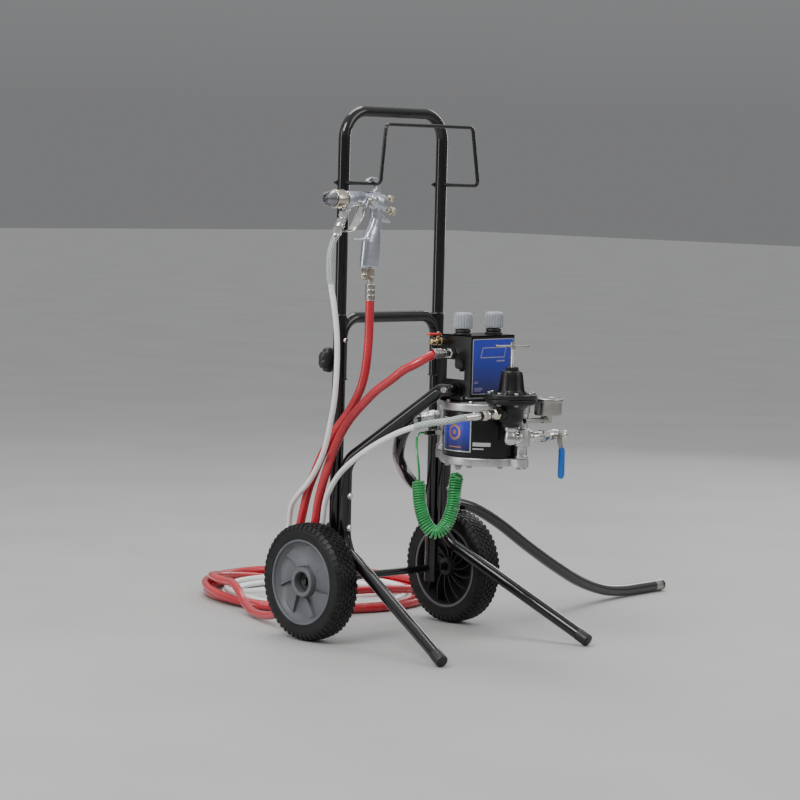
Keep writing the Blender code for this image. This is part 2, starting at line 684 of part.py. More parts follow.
flange_seam = (REG_FLANGE_BOTTOM + REG_FLANGE_TOP) / 2
regulator = [
    (0, flange_seam), (REG_FLANGE_RADIUS, flange_seam), (REG_FLANGE_RADIUS, REG_FLANGE_BOTTOM),
    (0.040, REG_FLANGE_BOTTOM - 0.003), (REG_BODY_RADIUS, REG_FLANGE_BOTTOM - 0.006),
    (REG_BODY_RADIUS, 0.503), (0.021, 0.497), (0.019, REG_BODY_BOTTOM), (0.010, REG_BODY_BOTTOM),
    (0.010, OUTLET_HEIGHT), (0, OUTLET_HEIGHT),
]
place = (REG_X, REG_Y, 0)
reg_body = turned("fluid_regulator_body", "black_paint", regulator, place, Z, 24)
link_start = Vector((REG_X, REG_Y, OUTLET_HEIGHT))
link_end = Vector((-0.0185, OUTLET_Y, OUTLET_HEIGHT))
join(reg_body, rod("regulator_link", "steel", link_start + Vector((0, 0, 0.001)),
                   link_end + Vector((0, 0, 0.001)), 0.0095, 12))
bonnet = [
    (0.007, BONNET_TOP), (0.0205, BONNET_TOP), (0.0225, BONNET_TOP - 0.003),
    (0.026, REG_FLANGE_TOP + 0.006), (0.030, REG_FLANGE_TOP), (REG_FLANGE_RADIUS, REG_FLANGE_TOP),
    (REG_FLANGE_RADIUS, flange_seam + GAP), (0.021, flange_seam + GAP), (0.019, BONNET_TOP - 0.006),
    (0.007, BONNET_TOP - 0.006),
]
turned("fluid_regulator_bonnet", "black_paint", bonnet, place, Z, 24, ring=True)
spring_seat = BONNET_TOP - 0.010
screw_profile = [(0, T_SCREW_TOP), (T_SCREW_RADIUS, T_SCREW_TOP), (T_SCREW_RADIUS, spring_seat),
                 (0.014, spring_seat), (0.014, spring_seat - 0.003), (0, spring_seat - 0.003)]
t_screw = turned("pressure_screw", "steel", screw_profile, place, Z, 16)
t_bar_direction = Vector((0.97, -0.24, 0))
t_bar_reach = t_bar_direction.normalized() * T_BAR_HALF
t_bar_centre = Vector((REG_X, REG_Y, T_BAR_HEIGHT))
t_bar_ends = t_bar_centre - t_bar_reach, t_bar_centre + t_bar_reach
join(t_screw, rod("t_bar", "steel", *t_bar_ends, 0.0022, 10))
spring_height = (flange_seam + GAP + 0.0003, spring_seat - 0.003 - GAP)
spring = [(0.0135, spring_height[1]), (0.0135, spring_height[0]), (0.0105, spring_height[0]),
          (0.0105, spring_height[1])]
turned("regulator_spring", "steel", spring, place, Z, 16, ring=True)

gauge_profile = [
    (0, GAUGE_TOP), (0.0275, GAUGE_TOP), (GAUGE_RADIUS, GAUGE_TOP - 0.003),
    (GAUGE_RADIUS, GAUGE_BOTTOM + 0.002), (GAUGE_RADIUS - 0.002, GAUGE_BOTTOM),
    (0.009, GAUGE_BOTTOM), (0.008, 0.492), (0, 0.492),
]
gauge = turned("pressure_gauge", "steel", gauge_profile, (GAUGE_X, GAUGE_Y, 0), Z, 24)
gauge_pipe_z = 0.499
join(gauge, rod("gauge_pipe", "steel", (REG_X + 0.0295, GAUGE_Y, gauge_pipe_z),
                (GAUGE_X, GAUGE_Y, gauge_pipe_z), 0.0058, 12))

# White hose fitting on the regulator's left side.
fitting_start = Vector((REG_X - REG_BODY_RADIUS - 0.0010, REG_Y, 0.5165))
fitting_direction = Vector((-1, 0.02, -0.045)).normalized()
fluid_fitting = [(0, 0.104), (0.0070, 0.104), (0.0078, 0.080), (0.0088, 0.079), (0.0088, 0.063),
                 (0.0068, 0.062), (0.0068, 0.056), (0.0115, 0.055), (0.0115, 0.034),
                 (0.0100, 0.033), (0.0125, 0.018), (0.0125, 0.008), (0.0085, 0.007), (0.0085, 0),
                 (0, 0)]
turned("fluid_outlet_fitting", "steel", fluid_fitting, fitting_start, fitting_direction, 12)
fluid_fitting_end = fitting_start + fitting_direction * (0.104 + GAP)

# ---------------------------------------------------------------- outlet ball valve

ball_start = branch_end + GAP
valve_profile = [
    (0, VALVE_END), (0.0085, VALVE_END), (0.0095, VALVE_END - 0.004), (0.0095, VALVE_END - 0.014),
    (0.0125, VALVE_END - 0.015), (0.0125, VALVE_X + 0.014), (0.0135, VALVE_X + 0.012),
    (0.0135, VALVE_X - 0.012), (0.0110, VALVE_X - 0.016), (0.0110, 0.060), (0.0135, 0.058),
    (0.0135, 0.040), (0.0105, 0.038), (0.0105, ball_start), (0, ball_start),
]
ball_valve = turned("ball_valve_body", "steel", valve_profile, (0, OUTLET_Y, OUTLET_HEIGHT), X, 14)
stem_front = OUTLET_Y - 0.021
join(ball_valve, rod("ball_valve_stem", "steel", (VALVE_X, OUTLET_Y, OUTLET_HEIGHT),
                     (VALVE_X, stem_front, OUTLET_HEIGHT), 0.0045, 12))
lever_outline = [(-0.007, 0.007), (0.007, 0.007), (0.0065, -0.012), (0.0125, -0.026),
                 (0.0150, -0.084), (0.0130, -0.088), (-0.0005, -0.088), (-0.0025, -0.084),
                 (-0.0025, -0.024), (-0.0065, -0.012)]
plate("ball_valve_lever", "blue_plastic", lever_outline, 0.0052,
      (VALVE_X, stem_front - GAP - 0.0026, OUTLET_HEIGHT))

# ---------------------------------------------------------------- spray gun

hook = [(-0.1655, 0.9860), (-0.1640, 0.9925), (-0.1530, 0.9962), (-0.1400, 0.9945),
        (-0.1310, 0.9860)]
hook_in = [(-0.1415, 0.9740), (-0.1405, 0.9830), (-0.1430, 0.98635), (-0.1510, 0.98635),
           (-0.1560, 0.9840)]
gun_outline = [
    (-0.2235, 0.9660), (-0.1650, 0.9650), (-0.1500, 0.9635), *hook_in, *hook,
    (-0.1260, 0.9640), (-0.1165, 0.9600), (-0.1130, 0.9400), (-0.1095, 0.9215), (-0.1180, 0.9130),
    (-0.1150, 0.9065), (-0.0975, 0.9015), (-0.1180, 0.8990), (-0.1260, 0.8930), (-0.1280, 0.8650),
    (-0.1315, 0.8040), (-0.1755, 0.8045), (-0.1745, 0.8570), (-0.1960, 0.8620), (-0.1965, 0.8645),
    (-0.1740, 0.8660), (-0.1655, 0.8880), (-0.1615, 0.9180), (-0.1700, 0.9330), (-0.2080, 0.9345),
    (-0.2235, 0.9320),
]
gun = plate("gun_body", "aluminium", gun_outline, 2 * GUN_HALF, (0, GUN_Y, 0))
gun = as_mesh(gun, "aluminium")
gun_start = (BARREL_FRONT, GUN_Y, GUN_AXIS)
join(gun, rod("barrel", "aluminium", gun_start, (-0.182, GUN_Y, GUN_AXIS), BARREL_RADIUS, 20))
boss_end, boss_direction = Vector((-0.2250, GUN_Y, 0.9243)), Vector((-0.45, 0, -0.893))
boss_direction.normalize()
join(gun, rod("fluid_boss", "aluminium", boss_end - boss_direction * 0.018, boss_end, 0.0075, 14))
pin_radius, pin_half = 0.003, TRIGGER_HALF + 0.002
join(gun, rod("trigger_pin", "steel", TRIGGER_PIVOT - Y * pin_half, TRIGGER_PIVOT + Y * pin_half,
              pin_radius, 12))

ring_profile = [(0, 0.034), (0.0175, 0.034), (0.0198, 0.028), (RING_RADIUS, 0.022),
                (RING_RADIUS, 0.008), (0.0145, GAP), (0, GAP)]
turned("gun_retaining_ring", "aluminium", ring_profile, gun_start, -X, 24)
cap_start, cap_end = 0.034 + GAP, 0.056
cap_profile = [(0, cap_end), (0.0045, cap_end), (0.0125, cap_end - 0.004),
               (0.0165, cap_start + 0.008), (0.0170, cap_start), (0, cap_start)]
air_cap = turned("gun_air_cap", "aluminium", cap_profile, gun_start, -X, 20)
horn_reach = 0.0625
for side in (-1, 1):
    horn_x = BARREL_FRONT - horn_reach
    low = (horn_x, GUN_Y - 0.004, GUN_AXIS + side * 0.0125 - 0.0035)
    high = (BARREL_FRONT - cap_start - 0.004, GUN_Y + 0.004, GUN_AXIS + side * 0.0125 + 0.0035)
    join(air_cap, block(f"horn_{side}", "aluminium", low, high))

trigger_outline = [
    (0.0050, 0.0055), (-0.0055, 0.0050), (-0.0150, -0.0180), (-0.0280, -0.0460),
    (-0.0420, -0.0640), (-0.0610, -0.0640), (-0.0610, -0.0685), (-0.0400, -0.0690),
    (-0.0220, -0.0500), (-0.0085, -0.0180), (0.0050, -0.0050),
]
trigger = plate("gun_trigger", "steel", trigger_outline, 2 * TRIGGER_HALF, TRIGGER_PIVOT)
trigger = as_mesh(trigger, "steel")
fork = GUN_HALF + GAP + FINGER_STEP
low = TRIGGER_PIVOT + Vector((-0.05, -fork, -0.0235))
cut(trigger, block("fork_slot", "steel", low, TRIGGER_PIVOT + Vector((0.05, fork, 0.05))))
cut(trigger, hole("fork_hole", TRIGGER_PIVOT - Y * 0.03, TRIGGER_PIVOT + Y * 0.03, pin_radius, 12))

fluid_knob = [(0, 0.021), (0.0050, 0.021), (0.0065, 0.018), (0.0065, 0.009), (0.0045, 0.008),
              (0.0045, GAP), (0, GAP)]
turned("gun_fluid_knob", "steel", fluid_knob, (-0.1138, GUN_Y, 0.9505), X, 14)
pattern_direction = Vector((0.97, 0, -0.24)).normalized()
pattern_knob = [(0, 0.026), (0.0060, 0.026), (0.0078, 0.022), (0.0078, 0.012), (0.0050, 0.011),
                (0.0050, 0.0010), (0, 0.0010)]
turned("gun_pattern_knob", "steel", pattern_knob, (-0.1093, GUN_Y, 0.9285), pattern_direction, 14)
air_knob = [(0, 0.028), (0.0060, 0.028), (0.0078, 0.024), (0.0078, 0.014), (0.0048, 0.013),
            (0.0048, GAP), (0, GAP)]
turned("gun_air_knob", "steel", air_knob, (-0.1665, GUN_Y, 0.8040), -Z, 14)
long = 0.064
gun_fluid = [(0, long), (0.0070, long), (0.0090, long - 0.004), (0.0090, long - 0.022),
             (0.0098, long - 0.023), (0.0098, long - 0.031), (0.0075, long - 0.032),
             (0.0075, long - 0.036), (0.0098, long - 0.037), (0.0098, 0.006), (0.0078, 0.005),
             (0.0078, GAP), (0, GAP)]
turned("gun_fluid_fitting", "steel", gun_fluid, boss_end, boss_direction, 12)
gun_air = [(0, 0.069), (0.0088, 0.069), (0.0085, 0.045), (0.0095, 0.044), (0.0095, 0.034),
           (0.0065, 0.033), (0.0060, 0.018), (0.0078, 0.017), (0.0078, 0.004), (0.0062, 0.003),
           (0.0062, GAP), (0, GAP)]
gun_air_top = Vector((-0.1480, GUN_Y, 0.8040))
turned("gun_air_fitting", "steel", gun_air, gun_air_top, -Z, 16)

# ---------------------------------------------------------------- hoses and the ground cord


def coil(name, finish, inner, outer, height):
    """The outer shape of a coil that lies on the floor."""
    low = 0.0008
    edge = min(height, outer - inner) * 0.3
    profile = [
        (inner + edge, height), (outer - edge, height), (outer, height - edge), (outer, low + edge),
        (outer - edge, low), (inner + edge, low), (inner, low + edge), (inner, height - edge),
    ]
    obj = turned(name, finish, profile, COIL_CENTRE, Z, 32, ring=True)
    cord_objects.add(obj)
    return obj


coil("red_hose_coil", "red_hose", *RED_COIL)
coil("white_hose_coil", "white_hose", *WHITE_COIL)

white_pump_route = [
    fluid_fitting_end, fluid_fitting_end + fitting_direction * 0.012,
    (-0.2150, -0.410, 0.5065), (-0.2430, -0.375, 0.4995), (-0.2560, -0.320, 0.4820),
    (-0.2540, -0.260, 0.4580), (-0.2450, -0.200, 0.4310), (-0.2310, -0.140, 0.4010),
    (-0.2140, -0.085, 0.3700), (-0.1970, -0.040, 0.3360), (-0.1830, -0.005, 0.2970),
    (-0.1760, 0.010, 0.2480), (-0.1735, 0.022, 0.1900), (-0.1720, 0.036, 0.1270),
    (-0.1630, 0.075, 0.0600), (-0.1400, 0.130, 0.0170), (-0.0900, 0.205, 0.0120),
    (-0.0500, 0.260, 0.0340), (-0.0050, 0.323, 0.0520), (0.0090, 0.348, 0.0475),
    (0.0230, 0.376, 0.0380), (0.0300, 0.400, 0.0366),
]
cord("white_hose_pump_run", "white_hose", white_pump_route, WHITE_RADIUS, 32)
red_panel_start = Vector((cheek - 0.036 - GAP, air_outlet_y, outlet_z))
red_panel_route = [
    red_panel_start, red_panel_start - X * 0.014,
    (-0.1340, -0.257, 0.6240), (-0.1520, -0.244, 0.6110), (-0.1660, -0.220, 0.5960),
    (-0.1730, -0.185, 0.5707), (-0.1780, -0.150, 0.5474), (-0.1810, -0.115, 0.5176),
    (-0.1800, -0.080, 0.4874), (-0.1770, -0.045, 0.4500), (-0.1780, -0.022, 0.4090),
    (-0.1835, -0.010, 0.3700), (-0.1800, 0.010, 0.3290), (-0.1760, 0.026, 0.2900),
    (-0.1740, 0.035, 0.2500), (-0.1740, 0.050, 0.2000), (-0.1730, 0.072, 0.1300),
    (-0.1690, 0.112, 0.0700), (-0.1550, 0.180, 0.0260), (-0.1200, 0.290, 0.0120),
    (-0.0950, 0.350, 0.0220), (-0.0760, 0.395, 0.0440), (-0.0570, 0.440, 0.0555),
    (-0.0420, 0.480, 0.0535), (-0.0300, 0.520, 0.0523),
]
cord("red_hose_panel_run", "red_hose", red_panel_route, RED_RADIUS, 30)
red_gun_start = gun_air_top - Z * (0.0690 + GAP)
red_gun_route = [
    red_gun_start, red_gun_start - Z * 0.016, (-0.1500, -0.094, 0.6700), (-0.1540, -0.096, 0.6300),
    (-0.1600, -0.097, 0.5900), (-0.1650, -0.094, 0.5600), (-0.1680, -0.082, 0.5300),
    (-0.1690, -0.055, 0.4920),
    (-0.1720, -0.020, 0.4520), (-0.1740, 0.012, 0.4050), (-0.1740, 0.038, 0.3600),
    (-0.1740, 0.058, 0.3200), (-0.1740, 0.070, 0.2850), (-0.1740, 0.080, 0.2500),
    (-0.1740, 0.094, 0.2000), (-0.1650, 0.110, 0.1450), (-0.1350, 0.132, 0.0920),
    (-0.0900, 0.152, 0.0520), (-0.0400, 0.168, 0.0310), (0.0200, 0.188, 0.0360),
    (0.0650, 0.202, 0.0530), (0.1490, 0.2047, 0.0521),
]
cord("red_hose_gun_run", "red_hose", red_gun_route, RED_RADIUS, 30)
white_gun_start = boss_end + boss_direction * (long + GAP)
white_gun_route = [
    white_gun_start, white_gun_start + boss_direction * 0.012, (-0.2665, GUN_Y, 0.8300),
    (-0.2680, -0.094, 0.8000), (-0.2640, -0.096, 0.7650), (-0.2570, -0.099, 0.7250),
    (-0.2500, -0.100, 0.6800), (-0.2460, -0.100, 0.6300), (-0.2425, -0.095, 0.5686),
    (-0.2350, -0.082, 0.5186), (-0.2250, -0.062, 0.4763),
    (-0.2120, -0.034, 0.4242), (-0.2010, -0.004, 0.3844), (-0.1950, 0.035, 0.3380),
    (-0.1930, 0.072, 0.3050), (-0.1860, 0.100, 0.2780), (-0.1770, 0.116, 0.2400),
    (-0.1750, 0.130, 0.1700), (-0.1580, 0.152, 0.1020), (-0.1100, 0.190, 0.0650),
    (-0.0500, 0.225, 0.0540), (0.0000, 0.250, 0.0535), (0.0400, 0.268, 0.0515),
    (0.0620, 0.279, 0.0475), (0.0850, 0.290, 0.0385), (0.1000, 0.296, 0.0366),
]
cord("white_hose_gun_run", "white_hose", white_gun_route, WHITE_RADIUS, 36)

suction_start = barb_end + barb_direction * GAP
suction_route = [
    suction_start, suction_start + barb_direction * 0.014,
    (-0.0520, -0.105, 0.4490), (-0.0380, -0.078, 0.4130),
    (-0.0130, -0.052, 0.3900), (0.0250, -0.022, 0.3680), (0.0700, 0.012, 0.3440),
    (0.1150, 0.034, 0.3190), (0.1500, 0.036, 0.3000), (0.1850, 0.022, 0.2810),
    (0.2200, 0.006, 0.2705), (0.2700, -0.006, 0.2560), (0.3400, -0.016, 0.2190),
    (0.4400, -0.018, 0.1570), (0.5400, -0.012, 0.1020), (0.6400, 0.000, 0.0560),
    (0.7400, 0.014, 0.0260), (0.8200, 0.024, 0.0155), (0.9000, 0.032, 0.0140),
    (0.9850, 0.040, 0.0140),
]
cord("suction_hose", "black_hose", suction_route, SUCTION_RADIUS, 28)

curly_route = [
    (-0.0450, -0.2680, 0.3750), (-0.0530, -0.2700, 0.3600), (-0.0590, -0.2730, 0.3400),
    (-0.0640, -0.2750, 0.3127), (-0.0720, -0.2740, 0.2870), (-0.0850, -0.2680, 0.2620),
    (-0.1010, -0.2580, 0.2530), (-0.1130, -0.2470, 0.2680), (-0.1180, -0.2360, 0.2928),
    (-0.1190, -0.2290, 0.3197), (-0.1180, -0.2250, 0.3449), (-0.1160, -0.2230, 0.3620),
]
cord("ground_cord_coil", "green_cord", curly_route, CURLY_RADIUS, 22)
grip_half = INLET_RADIUS + GAP
clamp_x, clamp_z = -0.0540, 0.4550
clamp = block("ground_clamp", "steel", (clamp_x, INLET_Y - grip_half - 0.003, clamp_z - 0.005),
              (-grip_half - 0.004, INLET_Y + grip_half + 0.003, clamp_z + 0.005), 0.001)
for side in (-1, 1):
    ys = sorted((INLET_Y + side * grip_half, INLET_Y + side * (grip_half + 0.003)))
    join(clamp, block(f"jaw_{side}", "steel", (-grip_half - 0.006, ys[0], clamp_z - 0.004),
                      (0.002, ys[1], clamp_z + 0.004)))
lead_route = [
    (-0.1160, -0.2230, 0.3625 + CURLY_RADIUS * 0.2), (-0.1150, -0.2200, 0.3900),
    (-0.1100, -0.2080, 0.4220), (-0.0950, -0.1920, 0.4480), (-0.0750, -0.1810, 0.4560),
    (clamp_x - GAP, INLET_Y, clamp_z),
]
cord("ground_lead", "green_cord", lead_route, LEAD_RADIUS, 14)
cord_objects.add(clamp)


# ---------------------------------------------------------------- the frame's origin


def stand_on_origin():
    """Moves the cart so that the middle of its footprint, hoses aside, is the world's origin."""
    bpy.context.view_layer.update()
    graph = bpy.context.evaluated_depsgraph_get()
    low, high = Vector((9, 9, 9)), Vector((-9, -9, -9))
    for obj in parts.objects:
        if obj.type == "EMPTY" or obj in cord_objects:
            continue
        shown = obj.evaluated_get(graph)
        mesh = shown.to_mesh()
        for vertex in mesh.vertices:
            place = shown.matrix_world @ vertex.co
            low = Vector(map(min, low, place))
            high = Vector(map(max, high, place))
        shown.to_mesh_clear()
    cart.location = (-(low.x + high.x) / 2, -(low.y + high.y) / 2, 0)


def smooth_round_pieces():
    for obj in parts.objects:
        if obj.type == "MESH":
            obj.data.shade_smooth()
            obj.data.set_sharp_from_angle(angle=math.radians(35))


smooth_round_pieces()
stand_on_origin()
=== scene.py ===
"""Looks of the diaphragm-pump paint sprayer on its cart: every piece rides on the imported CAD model.

Shapes are written in the cart's own frame: the origin is on the floor under the axle, +X to the right and
-Y to the front. CART moves them into the model's frame. Lengths are metres, but millimetres inside mm(),
solid() and nut().
"""

from math import copysign, cos, pi, radians, sin, tan, tau as TAU

import bmesh
import bpy
from mathutils import Matrix, Vector
from mathutils.geometry import interpolate_bezier


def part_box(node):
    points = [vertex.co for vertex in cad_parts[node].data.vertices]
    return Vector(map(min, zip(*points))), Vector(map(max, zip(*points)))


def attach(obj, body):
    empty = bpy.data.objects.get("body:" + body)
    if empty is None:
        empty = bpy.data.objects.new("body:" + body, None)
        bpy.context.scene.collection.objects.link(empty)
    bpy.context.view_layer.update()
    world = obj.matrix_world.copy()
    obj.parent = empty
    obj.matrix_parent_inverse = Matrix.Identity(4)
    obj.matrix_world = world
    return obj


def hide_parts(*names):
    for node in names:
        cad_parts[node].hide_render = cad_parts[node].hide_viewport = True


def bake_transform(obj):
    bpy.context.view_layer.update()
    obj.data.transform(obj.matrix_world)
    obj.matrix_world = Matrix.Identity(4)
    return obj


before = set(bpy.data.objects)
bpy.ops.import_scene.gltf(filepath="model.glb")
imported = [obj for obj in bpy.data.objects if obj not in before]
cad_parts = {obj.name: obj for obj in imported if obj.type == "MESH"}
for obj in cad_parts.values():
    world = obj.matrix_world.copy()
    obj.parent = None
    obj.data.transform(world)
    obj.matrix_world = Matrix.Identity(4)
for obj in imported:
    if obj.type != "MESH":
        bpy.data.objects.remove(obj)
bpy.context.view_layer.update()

X, Y, Z = Vector((1, 0, 0)), Vector((0, 1, 0)), Vector((0, 0, 1))
low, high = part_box("axle")
CART = Vector(((low.x + high.x) / 2, (low.y + high.y) / 2, 0))

# ---------------------------------------------------------------- materials

MATERIALS, SLOTS = {}, {}


def shader(name, colour, rough, metal=0.0, slot=None, grain=(900, 0.05), stain=(14, 0.12),
           rough_vary=0.1, **sockets):
    """A finish with fine bump, uneven colour and uneven gloss. Other sockets are set by their names."""
    material = bpy.data.materials.new(name)
    material.use_nodes = True
    nodes, links = material.node_tree.nodes, material.node_tree.links
    surface = nodes["Principled BSDF"]
    surface.inputs["Metallic"].default_value = metal
    for socket, value in sockets.items():
        surface.inputs[socket.replace("_", " ")].default_value = value
    place = nodes.new("ShaderNodeTexCoord")

    def noise(scale, detail):
        node = nodes.new("ShaderNodeTexNoise")
        node.inputs["Scale"].default_value = scale
        node.inputs["Detail"].default_value = detail
        links.new(place.outputs["Object"], node.inputs["Vector"])
        return node.outputs["Fac"]

    blotch = noise(stain[0], 6)
    ramp = nodes.new("ShaderNodeValToRGB")
    for stop, share in zip(ramp.color_ramp.elements, (1 - stain[1], 1 + stain[1])):
        stop.color = (*(min(c * share, 1.0) for c in colour), 1)
    ramp.color_ramp.elements[0].position, ramp.color_ramp.elements[1].position = 0.35, 0.65
    links.new(blotch, ramp.inputs["Fac"])
    links.new(ramp.outputs["Color"], surface.inputs["Base Color"])
    spread = nodes.new("ShaderNodeMapRange")
    spread.inputs["To Min"].default_value = max(rough - rough_vary, 0.02)
    spread.inputs["To Max"].default_value = rough + rough_vary
    links.new(noise(stain[0] * 4, 8), spread.inputs["Value"])
    links.new(spread.outputs["Result"], surface.inputs["Roughness"])
    bump = nodes.new("ShaderNodeBump")
    bump.inputs["Strength"].default_value = grain[1]
    bump.inputs["Distance"].default_value = 0.001
    links.new(noise(grain[0], 3), bump.inputs["Height"])
    links.new(bump.outputs["Normal"], surface.inputs["Normal"])
    MATERIALS[name], SLOTS[name] = material, slot or name
    return material


def weave_with_painted_shade(material, around, pitch, strength):
    """Adds a crossed braid, from the sweep's own UVs, to a finish's bump, and paints shade into its colour:
    darker in the weave's hollows, lighter on its crests.
    """
    nodes, links = material.node_tree.nodes, material.node_tree.links
    uv = nodes.new("ShaderNodeUVMap")
    uv.uv_map = "UVMap"
    parted = nodes.new("ShaderNodeSeparateXYZ")
    links.new(uv.outputs["UV"], parted.inputs["Vector"])

    def maths(operation, a, b):
        node = nodes.new("ShaderNodeMath")
        node.operation = operation
        for socket, value in zip(node.inputs, (a, b)):
            if isinstance(value, (int, float)):
                socket.default_value = value
            elif value is not None:
                links.new(value, socket)
        return node.outputs[0]

    round_part = maths("MULTIPLY", parted.outputs["X"], TAU * around)
    long_part = maths("MULTIPLY", parted.outputs["Y"], TAU / pitch)
    one = maths("SINE", maths("ADD", round_part, long_part), None)
    two = maths("SINE", maths("SUBTRACT", round_part, long_part), None)
    height = maths("MAXIMUM", one, two)
    bump = next(n for n in nodes if n.bl_idname == "ShaderNodeBump")
    bump.inputs["Strength"].default_value = strength
    links.new(height, bump.inputs["Height"])
    # Painted shade: the colour follows the weave's height, dark in the hollows between strands and light on
    # their crests.
    ramp = next(n for n in nodes if n.bl_idname == "ShaderNodeValToRGB")
    links.new(maths("MULTIPLY_ADD", height, 0.5), ramp.inputs["Fac"])


def graded(material, top, bottom, low, high):
    """A printed gradient down a finish, between two heights."""
    nodes, links = material.node_tree.nodes, material.node_tree.links
    place = nodes.new("ShaderNodeTexCoord")
    parted = nodes.new("ShaderNodeSeparateXYZ")
    links.new(place.outputs["Object"], parted.inputs["Vector"])
    spread = nodes.new("ShaderNodeMapRange")
    spread.inputs["From Min"].default_value, spread.inputs["From Max"].default_value = low, high
    links.new(parted.outputs["Z"], spread.inputs["Value"])
    ramp = next(n for n in nodes if n.bl_idname == "ShaderNodeValToRGB")
    ramp.color_ramp.elements[0].position, ramp.color_ramp.elements[1].position = 0.0, 0.75
    ramp.color_ramp.elements[0].color, ramp.color_ramp.elements[1].color = (*bottom, 1), (*top, 1)
    links.new(spread.outputs["Result"], ramp.inputs["Fac"])


shader("frame_paint", (0.0055, 0.0055, 0.006), 0.17, grain=(260, 0.012), rough_vary=0.05, Coat_Weight=0.5,
    Coat_Roughness=0.06, Specular_IOR_Level=0.35)
shader("pump_paint", (0.006, 0.006, 0.0065), 0.25, grain=(500, 0.02), stain=(30, 0.25), rough_vary=0.05,
    Specular_IOR_Level=0.35)
shader("cast_black", (0.01, 0.01, 0.011), 0.32, slot="pump_paint", grain=(420, 0.16), stain=(60, 0.3),
    Specular_IOR_Level=0.4)
shader("sheet_paint", (0.006, 0.006, 0.0065), 0.3, grain=(1500, 0.06), stain=(40, 0.2), rough_vary=0.06,
    Specular_IOR_Level=0.3)
shader("black_plastic", (0.016, 0.016, 0.017), 0.42, grain=(1300, 0.1))
shader("hub_black", (0.022, 0.022, 0.023), 0.5, slot="hub_plastic", grain=(700, 0.1))
shader("grey_plastic", (0.33, 0.35, 0.37), 0.34, grain=(1100, 0.08), stain=(60, 0.08))
shader("hub_plastic", (0.115, 0.12, 0.13), 0.4, grain=(800, 0.1), stain=(22, 0.12))
shader("tyre", (0.0065, 0.0065, 0.007), 0.46, grain=(650, 0.16), stain=(35, 0.45), Specular_IOR_Level=0.35)
shader("rubber", (0.009, 0.009, 0.01), 0.4, grain=(700, 0.1), stain=(40, 0.3))
shader("steel", (0.4, 0.39, 0.37), 0.3, 1.0, grain=(1700, 0.015), stain=(45, 0.14), rough_vary=0.05)
shader("chrome", (0.68, 0.67, 0.64), 0.15, 1.0, grain=(800, 0.008), stain=(60, 0.1), rough_vary=0.04)
shader("nickel", (0.6, 0.54, 0.45), 0.2, 1.0, slot="chrome", grain=(1200, 0.012), stain=(60, 0.12),
    rough_vary=0.05)
shader("aluminium", (0.56, 0.56, 0.57), 0.36, 1.0, grain=(500, 0.07), stain=(35, 0.14), rough_vary=0.07)
shader("gun_alloy", (0.64, 0.67, 0.74), 0.22, 1.0, grain=(900, 0.01), stain=(40, 0.05), rough_vary=0.04)
shader("cap_alloy", (0.3, 0.3, 0.32), 0.26, 1.0, slot="gun_alloy", grain=(1500, 0.012), stain=(70, 0.12),
    rough_vary=0.05)
shader("nozzle", (0.1, 0.1, 0.11), 0.35, 1.0, slot="gun_alloy", grain=(1500, 0.08))
shader("brass", (0.52, 0.39, 0.21), 0.28, 1.0, grain=(1200, 0.02), stain=(60, 0.15), rough_vary=0.06)
shader("red_plastic", (0.6, 0.035, 0.025), 0.36, grain=(900, 0.06))
shader("blue_plastic", (0.008, 0.14, 0.55), 0.3, grain=(600, 0.04), stain=(60, 0.12))
shader("white_hose", (0.86, 0.87, 0.85), 0.22, grain=(300, 0.012), stain=(9, 0.05), Coat_Weight=0.4,
    Coat_Roughness=0.1, Subsurface_Weight=0.08, Subsurface_Radius=(0.004, 0.004, 0.004))
shader("red_hose", (0.5, 0.022, 0.036), 0.25, grain=(260, 0.015), stain=(9, 0.12), Coat_Weight=0.4,
    Coat_Roughness=0.12)
shader("black_hose", (0.006, 0.006, 0.007), 0.16, grain=(220, 0.015), stain=(12, 0.2), Coat_Weight=0.7,
    Coat_Roughness=0.06)
shader("green_cord", (0.01, 0.3, 0.065), 0.12, grain=(400, 0.01), stain=(30, 0.2), Coat_Weight=0.6,
    Coat_Roughness=0.05, Subsurface_Weight=0.1, Subsurface_Radius=(0.001, 0.003, 0.001))
shader("dial", (0.76, 0.76, 0.72), 0.35, slot="steel", grain=(900, 0.02), stain=(30, 0.03))
shader("ink", (0.02, 0.02, 0.02), 0.5, slot="steel", grain=(900, 0.02))
shader("silver_print", (0.62, 0.63, 0.64), 0.3, 0.6, slot="sheet_paint", grain=(900, 0.03))
shader("print_violet", (0.33, 0.31, 0.46), 0.32, 0.3, slot="sheet_paint", grain=(900, 0.01))
shader("copper_print", (0.42, 0.2, 0.12), 0.32, 0.6, slot="sheet_paint", grain=(900, 0.01))
shader("label_blue", (0.015, 0.03, 0.42), 0.24, slot="sheet_paint", grain=(900, 0.03), Coat_Weight=0.5)
graded(MATERIALS["label_blue"], (0.018, 0.04, 0.46), (0.006, 0.008, 0.06), 0.545, 0.668)
shader("badge_blue", (0.015, 0.03, 0.42), 0.24, slot="pump_paint", grain=(900, 0.03), Coat_Weight=0.5)
graded(MATERIALS["badge_blue"], (0.02, 0.03, 0.4), (0.004, 0.005, 0.02), 0.428, 0.497)
shader("braid", (0.42, 0.47, 0.44), 0.32, 0.25, slot="white_hose", grain=(600, 0.3), stain=(30, 0.35))
# The braid's colour carries painted shade, darker in the hollows of the weave and lighter on its crests.
weave_with_painted_shade(MATERIALS["braid"], 7, 0.0085, 0.9)
shader("glass", (0.9, 0.92, 0.92), 0.04, slot="steel", grain=(300, 0.01), stain=(20, 0.02), rough_vary=0.02,
    Transmission_Weight=0.95, IOR=1.45)

# ---------------------------------------------------------------- shapes


class Shape:
    """Points and faces of one closed form, with a UV pair for each face corner if it has any."""

    def __init__(self, verts, faces, uvs=None):
        self.verts = [Vector(v) for v in verts]
        self.faces, self.uvs = faces, uvs


